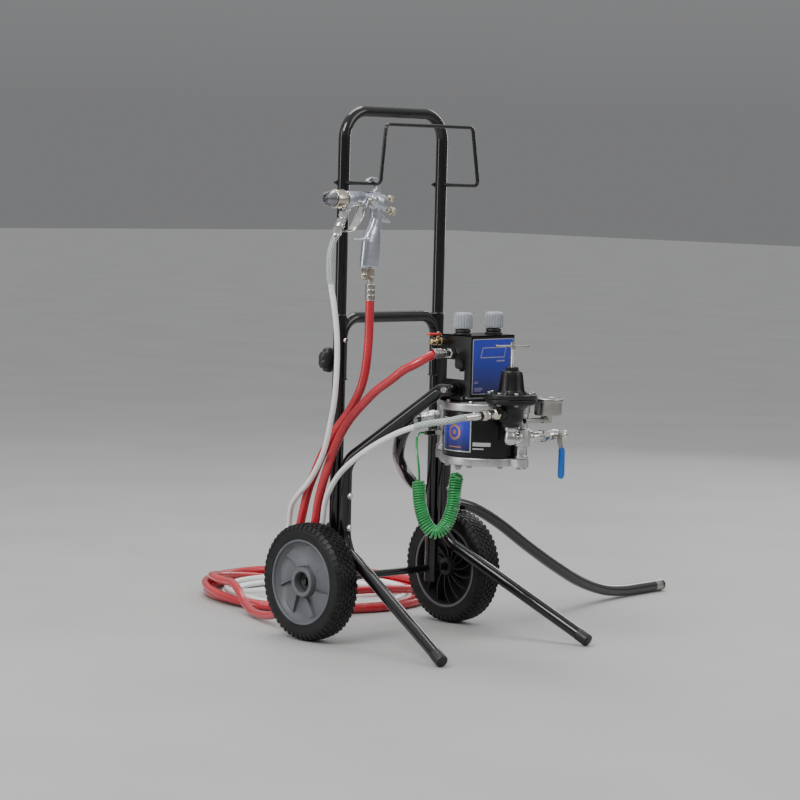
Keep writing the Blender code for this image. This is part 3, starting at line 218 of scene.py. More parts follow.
def piece(name, material, body, *shapes, replaces=(), bevel=0.0, smooth=35, blend=None):
    """One object of a finish, made of shapes, which rides on a body, or, given blend, stays fixed where it is
    built.
    """
    verts, faces, uvs = [], [], []
    for shape in shapes:
        first = len(verts)
        verts += [v + CART for v in shape.verts]
        faces += [tuple(i + first for i in f) for f in shape.faces]
        uvs += shape.uvs or [tuple((0, 0) for _ in f) for f in shape.faces]
    mesh = bpy.data.meshes.new(name)
    mesh.from_pydata(verts, [], faces)
    layer = mesh.uv_layers.new(name="UVMap")
    for face, corners in zip(mesh.polygons, uvs):
        for loop, corner in zip(face.loop_indices, corners):
            layer.data[loop].uv = corner
    bm = bmesh.new()
    bm.from_mesh(mesh)
    bmesh.ops.recalc_face_normals(bm, faces=bm.faces)
    bm.to_mesh(mesh)
    bm.free()
    mesh.materials.append(MATERIALS[material])
    mesh.shade_smooth()
    mesh.set_sharp_from_angle(angle=radians(smooth))
    obj = bpy.data.objects.new(name, mesh)
    bpy.context.scene.collection.objects.link(obj)
    if bevel:
        soft = obj.modifiers.new("edges", "BEVEL")
        soft.width, soft.segments, soft.limit_method = bevel, 3, "ANGLE"
        soft.angle_limit = radians(40)
        soft.harden_normals = True
    if blend:
        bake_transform(obj)
    else:
        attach(obj, body)
    if replaces:
        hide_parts(*replaces)
    return obj


def softened(profile, edge, closed=False):
    """The profile with each corner rounded over a short reach."""
    points = [Vector((r, h)) for r, h in profile]
    count, out = len(points), []
    for i, here in enumerate(points):
        if not closed and i in (0, count - 1):
            out.append(here)
            continue
        before, after = points[i - 1], points[(i + 1) % count]
        back, on = before - here, after - here
        reach = min(edge, 0.35 * back.length, 0.35 * on.length)
        a, b = here + back.normalized() * reach, here + on.normalized() * reach
        out += [a, (a + b + here * 2) / 4, b]
    return out


def capped(n):
    """The faces of an outline of n points joined to its copy: two ends, then the sides."""
    sides = [(i, (i + 1) % n, n + (i + 1) % n, n + i) for i in range(n)]
    return [tuple(range(n)), tuple(range(n, 2 * n)), *sides]


def grid(rows, columns):
    """The quads between rows of points, where each row closes on itself."""
    ring = [(k, (k + 1) % columns) for k in range(columns)]
    return [(i + k, i + n, i + columns + n, i + columns + k)
        for i in range(0, (rows - 1) * columns, columns) for k, n in ring]


def revolve(profile, place=(0, 0, 0), axis=Z, steps=40, edge=0.0006, closed=False, flutes=None):
    """A turned form about axis: (radius, height) pairs. Flutes are (count, depth, lowest radius)."""
    points = softened(profile, edge, closed)
    turn = Vector(axis).to_track_quat("Z", "Y").to_matrix()
    place = Vector(place)
    verts, rows = [], []
    for r, h in points:
        if r < 1e-6:
            rows.append([len(verts)] * steps)
            verts.append(place + turn @ Vector((0, 0, h)))
            continue
        rows.append(list(range(len(verts), len(verts) + steps)))
        for k in range(steps):
            angle, radius = TAU * k / steps, r
            if flutes and r > flutes[2]:
                radius -= flutes[1] * max(0.0, cos(angle * flutes[0])) ** 2
            verts.append(place + turn @ Vector((radius * cos(angle), radius * sin(angle), h)))
    faces = []
    for a, b in zip(rows, rows[1:] + rows[:1] * closed):
        for k in range(steps):
            n = (k + 1) % steps
            corners = [a[k], b[k], b[n], a[n]]
            face = tuple(dict.fromkeys(corners))
            if len(face) > 2:
                faces.append(face)
    return Shape(verts, faces)


def sweep(points, radius, sides=18, squash=1.0):
    """A round tube through points, with closed ends. Its radius may be a list."""
    points = [Vector(p) for p in points]
    count = len(points)
    radii = radius if isinstance(radius, (list, tuple)) else [radius] * count
    normal, verts, stations, along = None, [], [], 0.0
    for i, here in enumerate(points):
        ahead = (points[min(i + 1, count - 1)] - points[max(i - 1, 0)]).normalized()
        if normal is None:
            normal = ahead.orthogonal().normalized()
        normal = (normal - ahead * normal.dot(ahead)).normalized()
        across = ahead.cross(normal)
        if i:
            along += (here - points[i - 1]).length
        stations.append(along)
        for k in range(sides):
            angle = TAU * k / sides
            verts.append(here + radii[i] * (normal * cos(angle) * squash + across * sin(angle)))
    faces = grid(count, sides)
    uvs = [((k / sides, a), ((k + 1) / sides, a), ((k + 1) / sides, b), (k / sides, b)) for a,
        b in zip(stations, stations[1:]) for k in range(sides)]
    for end, ring in ((0, range(sides)), (count - 1, range((count - 1) * sides, count * sides))):
        faces.append(tuple(ring))
        uvs.append(tuple((0, stations[end]) for _ in ring))
    return Shape(verts, faces, uvs)


def slab(low, high):
    """A box between two corners."""
    (a, b, c), (d, e, f) = low, high
    verts = [(a, b, c), (d, b, c), (d, e, c), (a, e, c), (a, b, f), (d, b, f), (d, e, f), (a, e, f)]
    return Shape(verts, capped(4))


def prism(outline, start, end, place=(0, 0, 0), across=Z):
    """An outline pushed from start to end along across: (x, y) for Z, (x, z) for Y, (y, z) for X."""
    def at(a, b, t):
        return Vector({2: (a, b, t), 1: (a, t, b), 0: (t, a, b)}[list(across).index(1)])
    verts = [at(a, b, t) + Vector(place) for t in (start, end) for a, b in outline]
    return Shape(verts, capped(len(outline)))


def loft(stations, y, steps=28, power=2.5):
    """A form through ovals in the plane y: each is (x, z, half height, half thickness)."""
    verts, count = [], len(stations)
    for i, (x, z, a, b) in enumerate(stations):
        before, after = stations[max(i - 1, 0)], stations[min(i + 1, count - 1)]
        ahead = Vector((after[0] - before[0], 0, after[1] - before[1])).normalized()
        normal = Vector((-ahead.z, 0, ahead.x))
        for k in range(steps):
            angle = TAU * k / steps
            c, s = cos(angle), sin(angle)
            u = copysign(abs(c) ** (2 / power), c) * a
            v = copysign(abs(s) ** (2 / power), s) * b
            verts.append(Vector((x, y, z)) + normal * u + Y * v)
    ends = [tuple(range(steps)), tuple(range((count - 1) * steps, count * steps))]
    return Shape(verts, grid(count, steps) + ends)


def mm(*rows):
    """Rows of lengths in millimetres, in metres."""
    return [tuple(round(v / 1000, 7) for v in row) for row in rows]


def solid(*rows):
    """A turned form's profile in millimetres, closed to its axis at both ends."""
    rows = mm(*rows)
    return [(0, rows[0][1]), *rows, (0, rows[-1][1])]


def nut(radius, low, high, land, chamfer, place, axis):
    """A chamfered hexagon between two heights, in millimetres. Its ends are smaller by land."""
    return revolve(solid((radius - land, high), (radius, high - chamfer), (radius, low + chamfer),
        (radius - land, low)), place, axis, 6, 0.0)


def hexagon(place, axis, radius, height):
    """A hexagon head or nut with chamfered corners, over a thin round washer face."""
    flat = radius * 0.93
    head = [(0, height), (flat, height), (radius, height - radius * 0.12), (radius, 0), (0, 0)]
    washer = [(0, 0.0008), (radius * 1.12, 0.0008), (radius * 1.12, 0), (0, 0)]
    one = revolve(head, place, axis, 6, 0.0)
    two = revolve(washer, place, axis, 20, 0.0)
    two.faces = [tuple(i + len(one.verts) for i in f) for f in two.faces]
    return Shape(one.verts + two.verts, one.faces + two.faces)


def rounded(corners, radius, steps=8):
    """The route through corners, with each inner corner a smooth bend of about that radius."""
    corners = [Vector(c) for c in corners]
    radii = radius if isinstance(radius, (list, tuple)) else [radius] * (len(corners) - 2)
    route = [corners[0]]
    for before, here, after, bend in zip(corners, corners[1:], corners[2:], radii):
        back, on = (before - here).normalized(), (after - here).normalized()
        half = back.angle(on) / 2
        reach = bend / tan(half)
        centre = here + (back + on).normalized() * bend / sin(half)
        first, final = here + back * reach - centre, here + on * reach - centre
        turn = first.angle(final)
        for i in range(steps + 1):
            t = i / steps
            a = sin((1 - t) * turn) / sin(turn)
            b = sin(t * turn) / sin(turn)
            route.append(centre + first * a + final * b)
    return route + [corners[-1]]


def smooth_route(points, spacing):
    """Points about spacing apart along a smooth curve through the given ones."""
    points = [Vector(p) for p in points]
    ends = [points[0] * 2 - points[1], *points, points[-1] * 2 - points[-2]]
    fine = []
    for before, a, b, after in zip(ends, ends[1:], ends[2:], ends[3:]):
        step = (b - a).length / 3
        out, back = (b - before).normalized() * step, (after - a).normalized() * step
        fine += interpolate_bezier(a, a + out, b - back, b, 24)[:-1]
    fine.append(points[-1])
    along = [0.0]
    for a, b in zip(fine, fine[1:]):
        along.append(along[-1] + (b - a).length)
    count = max(2, round(along[-1] / spacing) + 1)
    route, k = [], 0
    for i in range(count):
        at = along[-1] * i / (count - 1)
        while k < len(fine) - 2 and along[k + 1] < at:
            k += 1
        route.append(fine[k].lerp(fine[k + 1], min((at - along[k]) / (along[k + 1] - along[k]), 1.0)))
    return route


def length_of(route):
    """The length along a route."""
    return sum((b - a).length for a, b in zip(route, route[1:]))


# ---------------------------------------------------------------- camera, light and floor

eye = Vector((-4.2703, -4.4517, 1.0134)) + CART
forward, right, up = (Vector(v) for v in ((0.6931, 0.7162, -0.0813), (0.7198, -0.6937, 0.0254),
    (0.0382, 0.0761, 0.9963)))
camera = bpy.data.objects.new("camera", bpy.data.cameras.new("camera"))
camera.data.lens = 127.13
camera.matrix_world = Matrix.Translation(eye) @ Matrix((right, up, -forward)).transposed().to_4x4()
bpy.context.scene.collection.objects.link(camera)
bpy.context.scene.camera = camera


def lamp(name, place, target, size, power, tall=None):
    """An area light at place, turned to target."""
    light = bpy.data.lights.new(name, "AREA")
    light.energy, light.shape = power, "RECTANGLE"
    light.size, light.size_y = size, tall or size
    obj = bpy.data.objects.new(name, light)
    obj.location = place
    obj.rotation_euler = (Vector(target) - Vector(place)).to_track_quat("-Z", "Y").to_euler()
    bpy.context.scene.collection.objects.link(obj)


lamp("key", (-3.0, -0.6, 3.2), (0, 0, 0.4), 1.6, 95)
lamp("fill", (1.8, -3.6, 2.4), (0, 0, 0.5), 2.2, 40)
lamp("top", (0.4, 1.2, 3.6), (0.1, 0.2, 0.2), 2.0, 60)
lamp("edge_left", (-2.9, 1.4, 1.4), (0, 0, 0.6), 0.7, 24, tall=2.4)
lamp("edge_right", (3.6, 1.8, 1.9), (0, 0, 0.7), 0.9, 22, tall=2.4)
world = bpy.data.worlds.new("studio")
world.use_nodes = True
sky, join = world.node_tree.nodes, world.node_tree.links.new
aim, parted, ramp = (sky.new("ShaderNode" + kind) for kind in ("TexCoord", "SeparateXYZ", "ValToRGB"))
for stop, height, level in zip(ramp.color_ramp.elements, (0.02, 0.75), (0.24, 0.9)):
    stop.position, stop.color = height, (level, level * 1.01, level * 1.03, 1)
join(aim.outputs["Generated"], parted.inputs["Vector"])
join(parted.outputs["Z"], ramp.inputs["Fac"])
join(ramp.outputs["Color"], sky["Background"].inputs["Color"])
sky["Background"].inputs["Strength"].default_value = 0.8
bpy.context.scene.world = world

floor_mesh = bpy.data.meshes.new("floor")
floor_mesh.from_pydata([(-30, -30, -0.0003), (30, -30, -0.0003), (30, 30, -0.0003), (-30, 30, -0.0003)], [],
    [(0, 1, 2, 3)])
floor = bpy.data.objects.new("floor", floor_mesh)
bpy.context.scene.collection.objects.link(floor)
shader("floor_paint", (0.43, 0.43, 0.42), 0.6, slot="floor", grain=(60, 0.04), stain=(2.0, 0.04))
floor_mesh.materials.append(MATERIALS["floor_paint"])

# ---------------------------------------------------------------- hoses

WHITE, RED, SUCTION = 0.006, 0.0095, 0.0135
HOSE_STEP = 0.014
GUN_Y = -0.0925
COIL = Vector((0.215, 0.45, 0))
BLEND = {"white": (0.25, 0.8), "red": (0.25, 0.7)}

fluid_start, fluid_way = Vector((-0.077, -0.418, 0.5165)), Vector((-1, 0.02, -0.045)).normalized()
fluid_end = fluid_start + fluid_way * 0.1043
boss_end, boss_way = Vector((-0.225, GUN_Y, 0.9243)), Vector((-0.45, 0, -0.893)).normalized()
gun_fluid_end = boss_end + boss_way * 0.0643
gun_air_top = Vector((-0.148, GUN_Y, 0.804))
gun_air_end = gun_air_top - Z * 0.0693
panel_end = Vector((-0.1013, -0.262, 0.6315))


def laps(start, stations):
    """Points round the coil's centre: stations are (degrees turned clockwise, radius, height)."""
    points, at = [], stations[0][0]
    for (a, r0, z0), (b, r1, z1) in zip(stations, stations[1:]):
        steps = max(1, round((b - a) / 12))
        for i in range(steps + (b == stations[-1][0])):
            t = i / steps
            ease = t * t * (3 - 2 * t)
            angle = radians(start - (a + (b - a) * t))
            r, z = r0 + (r1 - r0) * ease, z0 + (z1 - z0) * ease
            points.append(COIL + Vector((r * cos(angle), r * sin(angle), z)))
    return points


white_pump = [fluid_end, fluid_end + fluid_way * 0.012, *mm((-215, -410, 506.5), (-243, -375, 499.5),
    (-256, -320, 482), (-254, -260, 458), (-245, -200, 431), (-231, -140, 401), (-214, -85, 370),
    (-197, -40, 336), (-183, -5, 297), (-176, 10, 248), (-173.5, 22, 190), (-172, 36, 127), (-163, 75, 60),
    (-140, 130, 17), (-90, 205, 12), (-50, 260, 34), (-5, 323, 52), (9, 348, 47.5), (23, 376, 38),
    (30, 400, 36.6))]
white_laps = laps(195.1, [(10, 0.189, 0.033), (35, 0.192, 0.019), (70, 0.1955, 0.0072),
    (330, 0.1955, 0.0072), (400, 0.208, 0.0072), (690, 0.208, 0.0072), (760, 0.2205, 0.0072),
    (1050, 0.2205, 0.0072), (1110, 0.2142, 0.0182), (1290, 0.2142, 0.0182), (1365.1, 0.2105, 0.0303)])
white_gun = [gun_fluid_end, gun_fluid_end + boss_way * 0.012, (-0.2665, GUN_Y, 0.83),
    *mm((-268, -94, 800), (-264, -96, 765), (-257, -99, 725), (-250, -100, 680), (-246, -100, 630),
    (-242.5, -95, 568.6), (-235, -82, 518.6), (-225, -62, 476.3), (-212, -34, 424.2), (-201, -4, 384.4),
    (-195, 35, 338), (-193, 72, 305), (-186, 100, 278), (-177, 116, 240), (-175, 130, 170),
    (-158, 152, 102), (-110, 190, 65), (-50, 225, 54), (0, 250, 53.5), (40, 268, 51.5), (62, 278, 47.5),
    (84, 283.5, 40.5), (108, 281.5, 34.5), (132, 271, 31.8), (160, 256, 31), (190, 244, 30.5)),
    COIL + Vector((0, -0.2105, 0.0303))]
red_panel = [panel_end, panel_end - X * 0.014, *mm((-134, -257, 624), (-152, -244, 611), (-166, -220, 596),
    (-173, -185, 570.7), (-178, -150, 547.4), (-181, -115, 517.6), (-180, -80, 487.4), (-177, -45, 450),
    (-178, -22, 409), (-183.5, -10, 370), (-180, 10, 329), (-176, 26, 290), (-174, 35, 250),
    (-174, 50, 200), (-173, 72, 130), (-169, 112, 70), (-155, 180, 26), (-120, 290, 12), (-95, 350, 22),
    (-76, 395, 44), (-57, 440, 55.5), (-42, 480, 53.5), (-30, 520, 52.3))]
red_laps = laps(164.1, [(14, 0.252, 0.0505), (36, 0.246, 0.04), (62, 0.2425, 0.025), (90, 0.2425, 0.0102),
    (330, 0.2425, 0.0102), (400, 0.262, 0.0102), (680, 0.262, 0.0102), (745, 0.264, 0.0288),
    (840, 0.26, 0.0285), (890, 0.2525, 0.0268), (930, 0.2525, 0.033), (989.2, 0.254, 0.0521)])
red_gun = [gun_air_end, gun_air_end - Z * 0.016, *mm((-150, -94, 670), (-154, -96, 630), (-160, -97, 590),
    (-165, -94, 560), (-168, -82, 530), (-169, -55, 492), (-172, -20, 452), (-174, 12, 405),
    (-174, 38, 360), (-174, 58, 320), (-174, 70, 285), (-174, 80, 250), (-174, 94, 200), (-165, 110, 145),
    (-135, 132, 92), (-90, 152, 52), (-40, 168, 31), (20, 188, 36), (65, 202, 53), (149, 204.7, 52.1))]


def hose(name, material, points, radius, nodes, blend=None):
    """A hose along a smooth route."""
    route = smooth_route(points, HOSE_STEP)
    obj = piece(name, material, "frame", sweep(route, radius, 16), replaces=nodes, smooth=60, blend=blend)
    return route


hose("white_hose_to_pump", "white_hose", white_pump + white_laps, WHITE,
    ["white_hose_pump_run", "white_hose_coil"])
white_route = hose("white_hose_to_gun", "white_hose", white_gun, WHITE, ["white_hose_gun_run"],
    blend=BLEND["white"])
hose("red_hose_to_panel", "red_hose", red_panel + red_laps, RED, ["red_hose_panel_run", "red_hose_coil"])
hose("red_hose_to_gun", "red_hose", red_gun, RED, ["red_hose_gun_run"], blend=BLEND["red"])


def part_of(route, length):
    """The first stretch of a route, of about that length."""
    out, along = [route[0]], 0.0
    for a, b in zip(route, route[1:]):
        along += (b - a).length
        out.append(b)
        if along > length:
            break
    return out


sleeve = part_of(white_route, 0.084)
piece("gun_hose_sleeve", "braid", "handle", sweep(sleeve, WHITE + 0.0011), blend=BLEND["white"], smooth=60)
sleeve = part_of(smooth_route(white_pump, HOSE_STEP), 0.098)
piece("pump_hose_sleeve", "braid", "frame", sweep(sleeve, WHITE + 0.0011), smooth=60)

barb_start = Vector((0, -0.178, 0.492))
barb_way = Vector((-0.55, 0.62, -0.15)).normalized()
suction_start = barb_start + barb_way * 0.0523
suction = [suction_start, suction_start + barb_way * 0.014, *mm((-52, -105, 449), (-38, -78, 413),
    (-13, -52, 390), (25, -22, 368), (70, 12, 344), (115, 34, 319), (150, 36, 300), (185, 22, 281),
    (220, 6, 270.5), (270, -6, 256), (340, -16, 219), (440, -18, 157), (540, -12, 102), (640, 0, 56),
    (740, 14, 26), (820, 24, 15.5), (900, 32, 14), (985, 40, 14))]
nut_way = (Vector(suction[-1]) - Vector(suction[-2])).normalized()
nut_place = Vector(suction[-1]) - nut_way * 0.034
suction_nut = piece("suction_hose_nut", "steel", "frame", revolve(mm((0, 36), (10, 36), (10, 26),
    (14.5, 25), (14.5, 12), (13.9, 10), (13.9, 0), (13, 0)), nut_place, nut_way, 24))
hose("suction_hose_tube", "black_hose", suction, SUCTION, ["suction_hose"])

# Ground cord: the curly part, and the straight lead up to its clamp.
curly = mm((-45, -268, 375), (-53, -270, 360), (-59, -273, 340), (-64, -275, 312.7), (-72, -274, 287),
    (-85, -268, 262), (-101, -258, 253), (-113, -247, 268), (-118, -236, 292.8), (-119, -229, 319.7),
    (-118, -225, 344.9), (-116, -223, 362))
lead = mm((-115, -220, 390), (-110, -208, 422), (-95, -192, 448), (-75, -181, 456), (-54.3, -178, 455))
curl_radius, curl_pitch, wire = 0.0126, 0.0053, 0.0024
spine = smooth_route(curly, 0.002)
turns = length_of(spine) / curl_pitch
normal, ground = None, []
steps = round(turns * 16)
for i in range(steps + 1):
    at = i / steps * (len(spine) - 1)
    k = min(int(at), len(spine) - 2)
    here = spine[k].lerp(spine[k + 1], at - k)
    ahead = (spine[min(k + 2, len(spine) - 1)] - spine[max(k - 1, 0)]).normalized()
    normal = ahead.orthogonal().normalized() if normal is None else normal
    normal = (normal - ahead * normal.dot(ahead)).normalized()
    angle = TAU * turns * i / steps
    reach = curl_radius * min(1.0, 0.15 + i / 20, 0.15 + (steps - i) / 20)
    ground.append(here + reach * (normal * cos(angle) + ahead.cross(normal) * sin(angle)))
ground += smooth_route([ground[-1], *lead], 0.006)[1:]
clamp_z = 0.455
clamp_shapes = []
for side in (-1, 1):
    jaw = [(-0.056, side * 0.003), (-0.03, side * 0.003), (-0.0215, side * 0.0175), (0.002, side * 0.0185),
        (0.002, side * 0.0165), (-0.019, side * 0.016), (-0.029, side * 0.0008), (-0.056, side * 0.0008)]
    clamp_shapes.append(prism(jaw, -0.0045, 0.0045, (0, -0.178, clamp_z)))
ground_clamp = piece("ground_clamp_jaws", "steel", "frame", *clamp_shapes,
    revolve(solid((2.6, 5.8), (2.6, -5.8)), (-0.033, -0.178, clamp_z), Z, 16), replaces=["ground_clamp"],
    bevel=0.0004)
cord_wire = piece("ground_cord_wire", "green_cord", "frame", sweep(ground, wire, 7),
    replaces=["ground_cord_coil", "ground_lead"], smooth=80)

# ---------------------------------------------------------------- wheels and axle

WHEEL_X, WHEEL_Z, WHEEL_R, UPRIGHT_X = 0.2165, 0.127, 0.127, 0.147


def tread(place, side):
    """Rows of raised lozenges round the tyre, and square lugs on its shoulders."""
    verts, faces, count = [], [], 54

    def pad(corners, top):
        """corners and top are lists of (radius, across, angle)."""
        first = len(verts)
        for r, across, angle in corners + top:
            verts.append(place + Vector((side * across, r * sin(angle), r * cos(angle))))
        for face in capped(len(corners))[1:]:
            faces.append(tuple(first + i for i in face))

    for row in range(-2, 3):
        for k in range(count):
            mid, across = TAU * (k + 0.5 * (row % 2)) / count, row * 0.0085
            crown = WHEEL_R - 0.0002 - 0.0016 * (row / 2) ** 2
            low, high = [], []
            for a, b in ((1, 0.15), (0.55, 0.9), (-0.55, 0.9), (-1, -0.15), (-0.55, -0.9), (0.55, -0.9)):
                low.append((crown - 0.003, across + b * 0.0046, mid + a * 0.052))
                high.append((crown, across + b * 0.0037, mid + a * 0.044))
            pad(low, high)
    for edge in (-1, 1):
        for k in range(count):
            mid = TAU * (k + 0.25 * edge) / count
            low, high = [], []
            for a, t in ((-1, 0), (1, 0), (1, 1), (-1, 1)):
                out_r, out_y = (0.1236, 0.0226) if t == 0 else (0.115, 0.0292)
                low.append((out_r - 0.0035, edge * (out_y - 0.002), mid + a * 0.036))
                high.append((out_r + 0.0012, edge * (out_y + 0.0004), mid + a * 0.03))
            pad(low, high)
    return Shape(verts, faces)


def vanes(place, side, inner, outer, level, lift, count=7, twist=0.22):
    """A pinwheel dish: each of its sectors rises along the turn to a step at the next one."""
    radial, sub = 10, 12
    per, verts = sub + 1, []
    for i in range(radial + 1):
        t = i / radial
        r = inner + (outer - inner) * t
        swell = min(1.0, t / 0.06, (1 - t) / 0.1)
        for s in range(count):
            for j in range(per):
                f = j / sub
                angle = TAU * (s + f) / count + twist * (1 - t) * side
                h = level + lift * swell * (f - 0.5) - 0.003 * sin(pi * t)
                verts.append(place + Vector((side * h, r * sin(angle), r * cos(angle))))
    return Shape(verts, grid(radial + 1, count * per))


for side, name in ((-1, "left"), (1, "right")):
    body, place, axis = name + "_wheel", Vector((side * WHEEL_X, 0, WHEEL_Z)), X * side
    carcass = mm((92.5, 28.5), (94, 29.2), (96, 28.5), (108, 29.7), (118, 27), (122.8, 21.5), (124, 12),
        (124.3, 0))
    carcass += [(r, -h) for r, h in reversed(carcass[:-1])]
    piece(name + "_tyre_carcass", "tyre", body, revolve(carcass, place, axis, 96, 0.001, closed=True),
        tread(place, side), replaces=[name + "_tyre"], smooth=28)
    rim = mm((92.2, 28.4), (90, 29.2), (87.5, 28.4), (86.2, 23), (80, 15), (78, 13.6), (78, 10), (86.8, 10),
        (86.8, -28.3), (92.2, -28.3))
    ring = mm((22.5, 8), (22.5, 25.5), (23.5, 27), (30, 27), (32, 25.5), (33.5, 13), (36, 10), (36, 6))
    piece(name + "_rim", "hub_plastic", body, revolve(rim, place, axis, 96, 0.0012, closed=True),
        revolve(ring, place, axis, 64, 0.001, closed=True), vanes(place, side, 0.0345, 0.08, 0.015, 0.008),
        replaces=[name + "_wheel_hub"], smooth=40)
    web = mm((86.6, 6), (86.6, 4.5), (24, 4.5), (20.5, 3), (19, -25.5), (9, -25.5), (9, 8), (22.8, 9.5),
        (34, 9.5))
    ribs = []
    for k in range(14):
        arc = []
        for t in range(7):
            r, angle = 0.02 + 0.067 * t / 6, TAU * k / 14 + 0.55 * t / 6 * side
            arc.append(place + Vector((-side * 0.0075, r * sin(angle), r * cos(angle))))
        strip = Shape([], [])
        for p in arc:
            wide = Vector((0, p.z - WHEEL_Z, -p.y)).normalized() * 0.0012
            for v in (-1, 1):
                strip.verts += [p + wide * v + X * side * 0.0125, p + wide * v - X * side * 0.0075]
        for t in range(6):
            a, b = 4 * t, 4 * (t + 1)
            strip.faces += [(a, a + 1, b + 1, b), (a + 2, b + 2, b + 3, a + 3),
                (a + 1, a + 3, b + 3, b + 1)]
        ribs.append(strip)
    lining = mm((86.7, -28), (86.7, 4.5), (84.5, 4.5), (85.2, -28))
    piece(name + "_hub_back", "hub_black", body, revolve(web, place, axis, 64, 0.0008, closed=True),
        revolve(lining, place, axis, 64, 0.0005, closed=True), *ribs, smooth=40)

axle_half = WHEEL_X + 0.02
piece("axle_bar", "frame_paint", "frame", revolve([(0, axle_half), (0.008, axle_half), (0.008, -axle_half),
    (0, -axle_half)], (0, 0, WHEEL_Z), X, 32, 0.0012), replaces=["axle"])
washers = []
for side in (-1, 1):
    washer = mm((8.3, 0.5), (16, 0.5), (16, 2.5), (8.3, 2.5))
    washers.append(revolve(washer, (side * (UPRIGHT_X + 0.0145), 0, WHEEL_Z), X * side, 32, 0.0003,
        closed=True))
piece("axle_washers", "steel", "frame", *washers)

# ---------------------------------------------------------------- frame, handle and hanger

UPRIGHT_R, ARM_R, CAP_R, FRONT_X = 0.0143, 0.0135, 0.0138, 0.15
for side, name in ((-1, "left"), (1, "right")):
    tube = [(0.0131, 0.7), (0.0137, 0.7008), (UPRIGHT_R, 0.6995), (UPRIGHT_R, 0.098), (0.0131, 0.098)]
    piece(name + "_upright_tube", "frame_paint", "frame", revolve(tube, (side * UPRIGHT_X, 0, 0), Z, 48,
        0.0004, closed=True), replaces=[name + "_upright"])
    foot_end = Vector((side * 0.222, -0.414, 0.0105))
    bend = Vector((side * FRONT_X, -0.033, 0.2))
    along = (foot_end - bend).normalized()
    corners = [(side * 0.0855, -0.285, 0.5555), (side * 0.0855, -0.25, 0.5535),
        (side * FRONT_X, -0.033, 0.385), bend, foot_end - along * 0.0143]
    route = rounded(corners, [0.03, 0.055, 0.06], 10)
    plug = revolve(mm((0, 4), (8, 3.2), (12.8, 0.8), (13.3, -1), (13.3, -4), (0, -4)), corners[0], -Y, 32)
    piece(name + "_front_leg", "frame_paint", "frame", sweep(route, ARM_R, 32), plug,
        replaces=[name + "_front_tube"], smooth=50)
    cap = revolve([(0, 0.001), (0.0105, 0.0), (0.013, -0.002), (CAP_R, -0.005), (CAP_R, -0.03),
        (0.0134, -0.031)], foot_end, along, 32, 0.0012)
    for v in cap.verts:
        v.z = max(v.z, 0.0)
    piece(name + "_foot_cap", "rubber", "frame", cap, replaces=[name + "_foot"], smooth=45)

hoop_x = UPRIGHT_X - 0.0055
hoop = rounded([(-hoop_x, 0, 0.56), (-hoop_x, 0, 0.692), (hoop_x, 0, 0.692), (hoop_x, 0, 0.56)], 0.045, 14)
piece("frame_hoop", "frame_paint", "frame", sweep(hoop, 0.0125, 32), replaces=["cross_hoop"], smooth=50)
welds = []
for side in (-1, 1):
    for z in (0.5585, 0.656):
        bead = [Vector((side * (UPRIGHT_X - 0.0115 + 0.0015 * cos(a)), 0.0128 * sin(a), z + 0.002))
            for a in (TAU * k / 24 for k in range(25))]
        welds.append(sweep(bead, [0.0016 + 0.0004 * sin(k * 2.4) for k in range(25)], 8))
    welds.append(revolve(mm((14.1, 1.5), (16.2, 0), (14.1, -1.5)), (side * UPRIGHT_X, 0, 0.6975), Z, 40,
        0.0003, closed=True))
piece("frame_welds", "frame_paint", "frame", *welds, smooth=60)
HANDLE_LOW, HANDLE_TOP = 0.48, 1.136
handle = rounded([(-UPRIGHT_X, 0, HANDLE_LOW), (-UPRIGHT_X, 0, HANDLE_TOP), (UPRIGHT_X, 0, HANDLE_TOP),
    (UPRIGHT_X, 0, HANDLE_LOW)], 0.06, 16)
piece("handle_bar", "frame_paint", "handle", sweep(handle, 0.0127, 36), replaces=["handle_tube"], smooth=50)
HANGER_Z = 0.982
half = [(-UPRIGHT_X, 0.026, HANGER_Z), (-UPRIGHT_X, -0.115, HANGER_Z), (-0.13, -0.111, 1.108)]
wire_route = rounded(half + [(-x, y, z) for x, y, z in reversed(half)], 0.011, 8)
piece("hanger_wire", "frame_paint", "handle", sweep(wire_route, 0.004, 16), replaces=["gun_hanger"],
    smooth=60)
push_nuts = [revolve(mm((4, 0), (8, 0.5), (7.5, 2.5), (4, 3)), (side * UPRIGHT_X, 0.0135, HANGER_Z), Y, 24,
    0.0003, closed=True) for side in (-1, 1)]
piece("hanger_push_nuts", "frame_paint", "handle", *push_nuts)

clamp_place = (-UPRIGHT_X, 0, 0.6)
stud = solid((12, 46), (20, 43.5), (27, 38), (27, 26), (20, 21), (10, 16.5))
piece("clamp_handwheel", "black_plastic", "clamp_screw", revolve(stud, clamp_place, Y, 96, 0.0015,
    flutes=(7, 0.0035, 0.024)), replaces=["clamp_knob"], smooth=50)
piece("clamp_stud", "steel", "clamp_screw", revolve(solid((4, 16.7), (4, 13.3)), clamp_place, Y, 20))

bolts = []
for side in (-1, 1):
    for z in (0.243, 0.312):
        bolts.append(hexagon((side * FRONT_X, -0.0462, z), -Y, 0.0062, 0.0052))
        bolts.append(hexagon((side * FRONT_X, 0.0142, z), Y, 0.0062, 0.006))
    bolts.append(hexagon((side * 0.099, -0.273, 0.5555), X * side, 0.0062, 0.005))
    bolts.append(hexagon((side * (UPRIGHT_X - 0.001), -0.0163, 0.645), -Y, 0.005, 0.004))
    bolts.append(hexagon((side * 0.04, -0.276, 0.5351), Z, 0.0055, 0.0045))
piece("frame_bolts", "chrome", "frame", *bolts, smooth=30)

# ---------------------------------------------------------------- pump

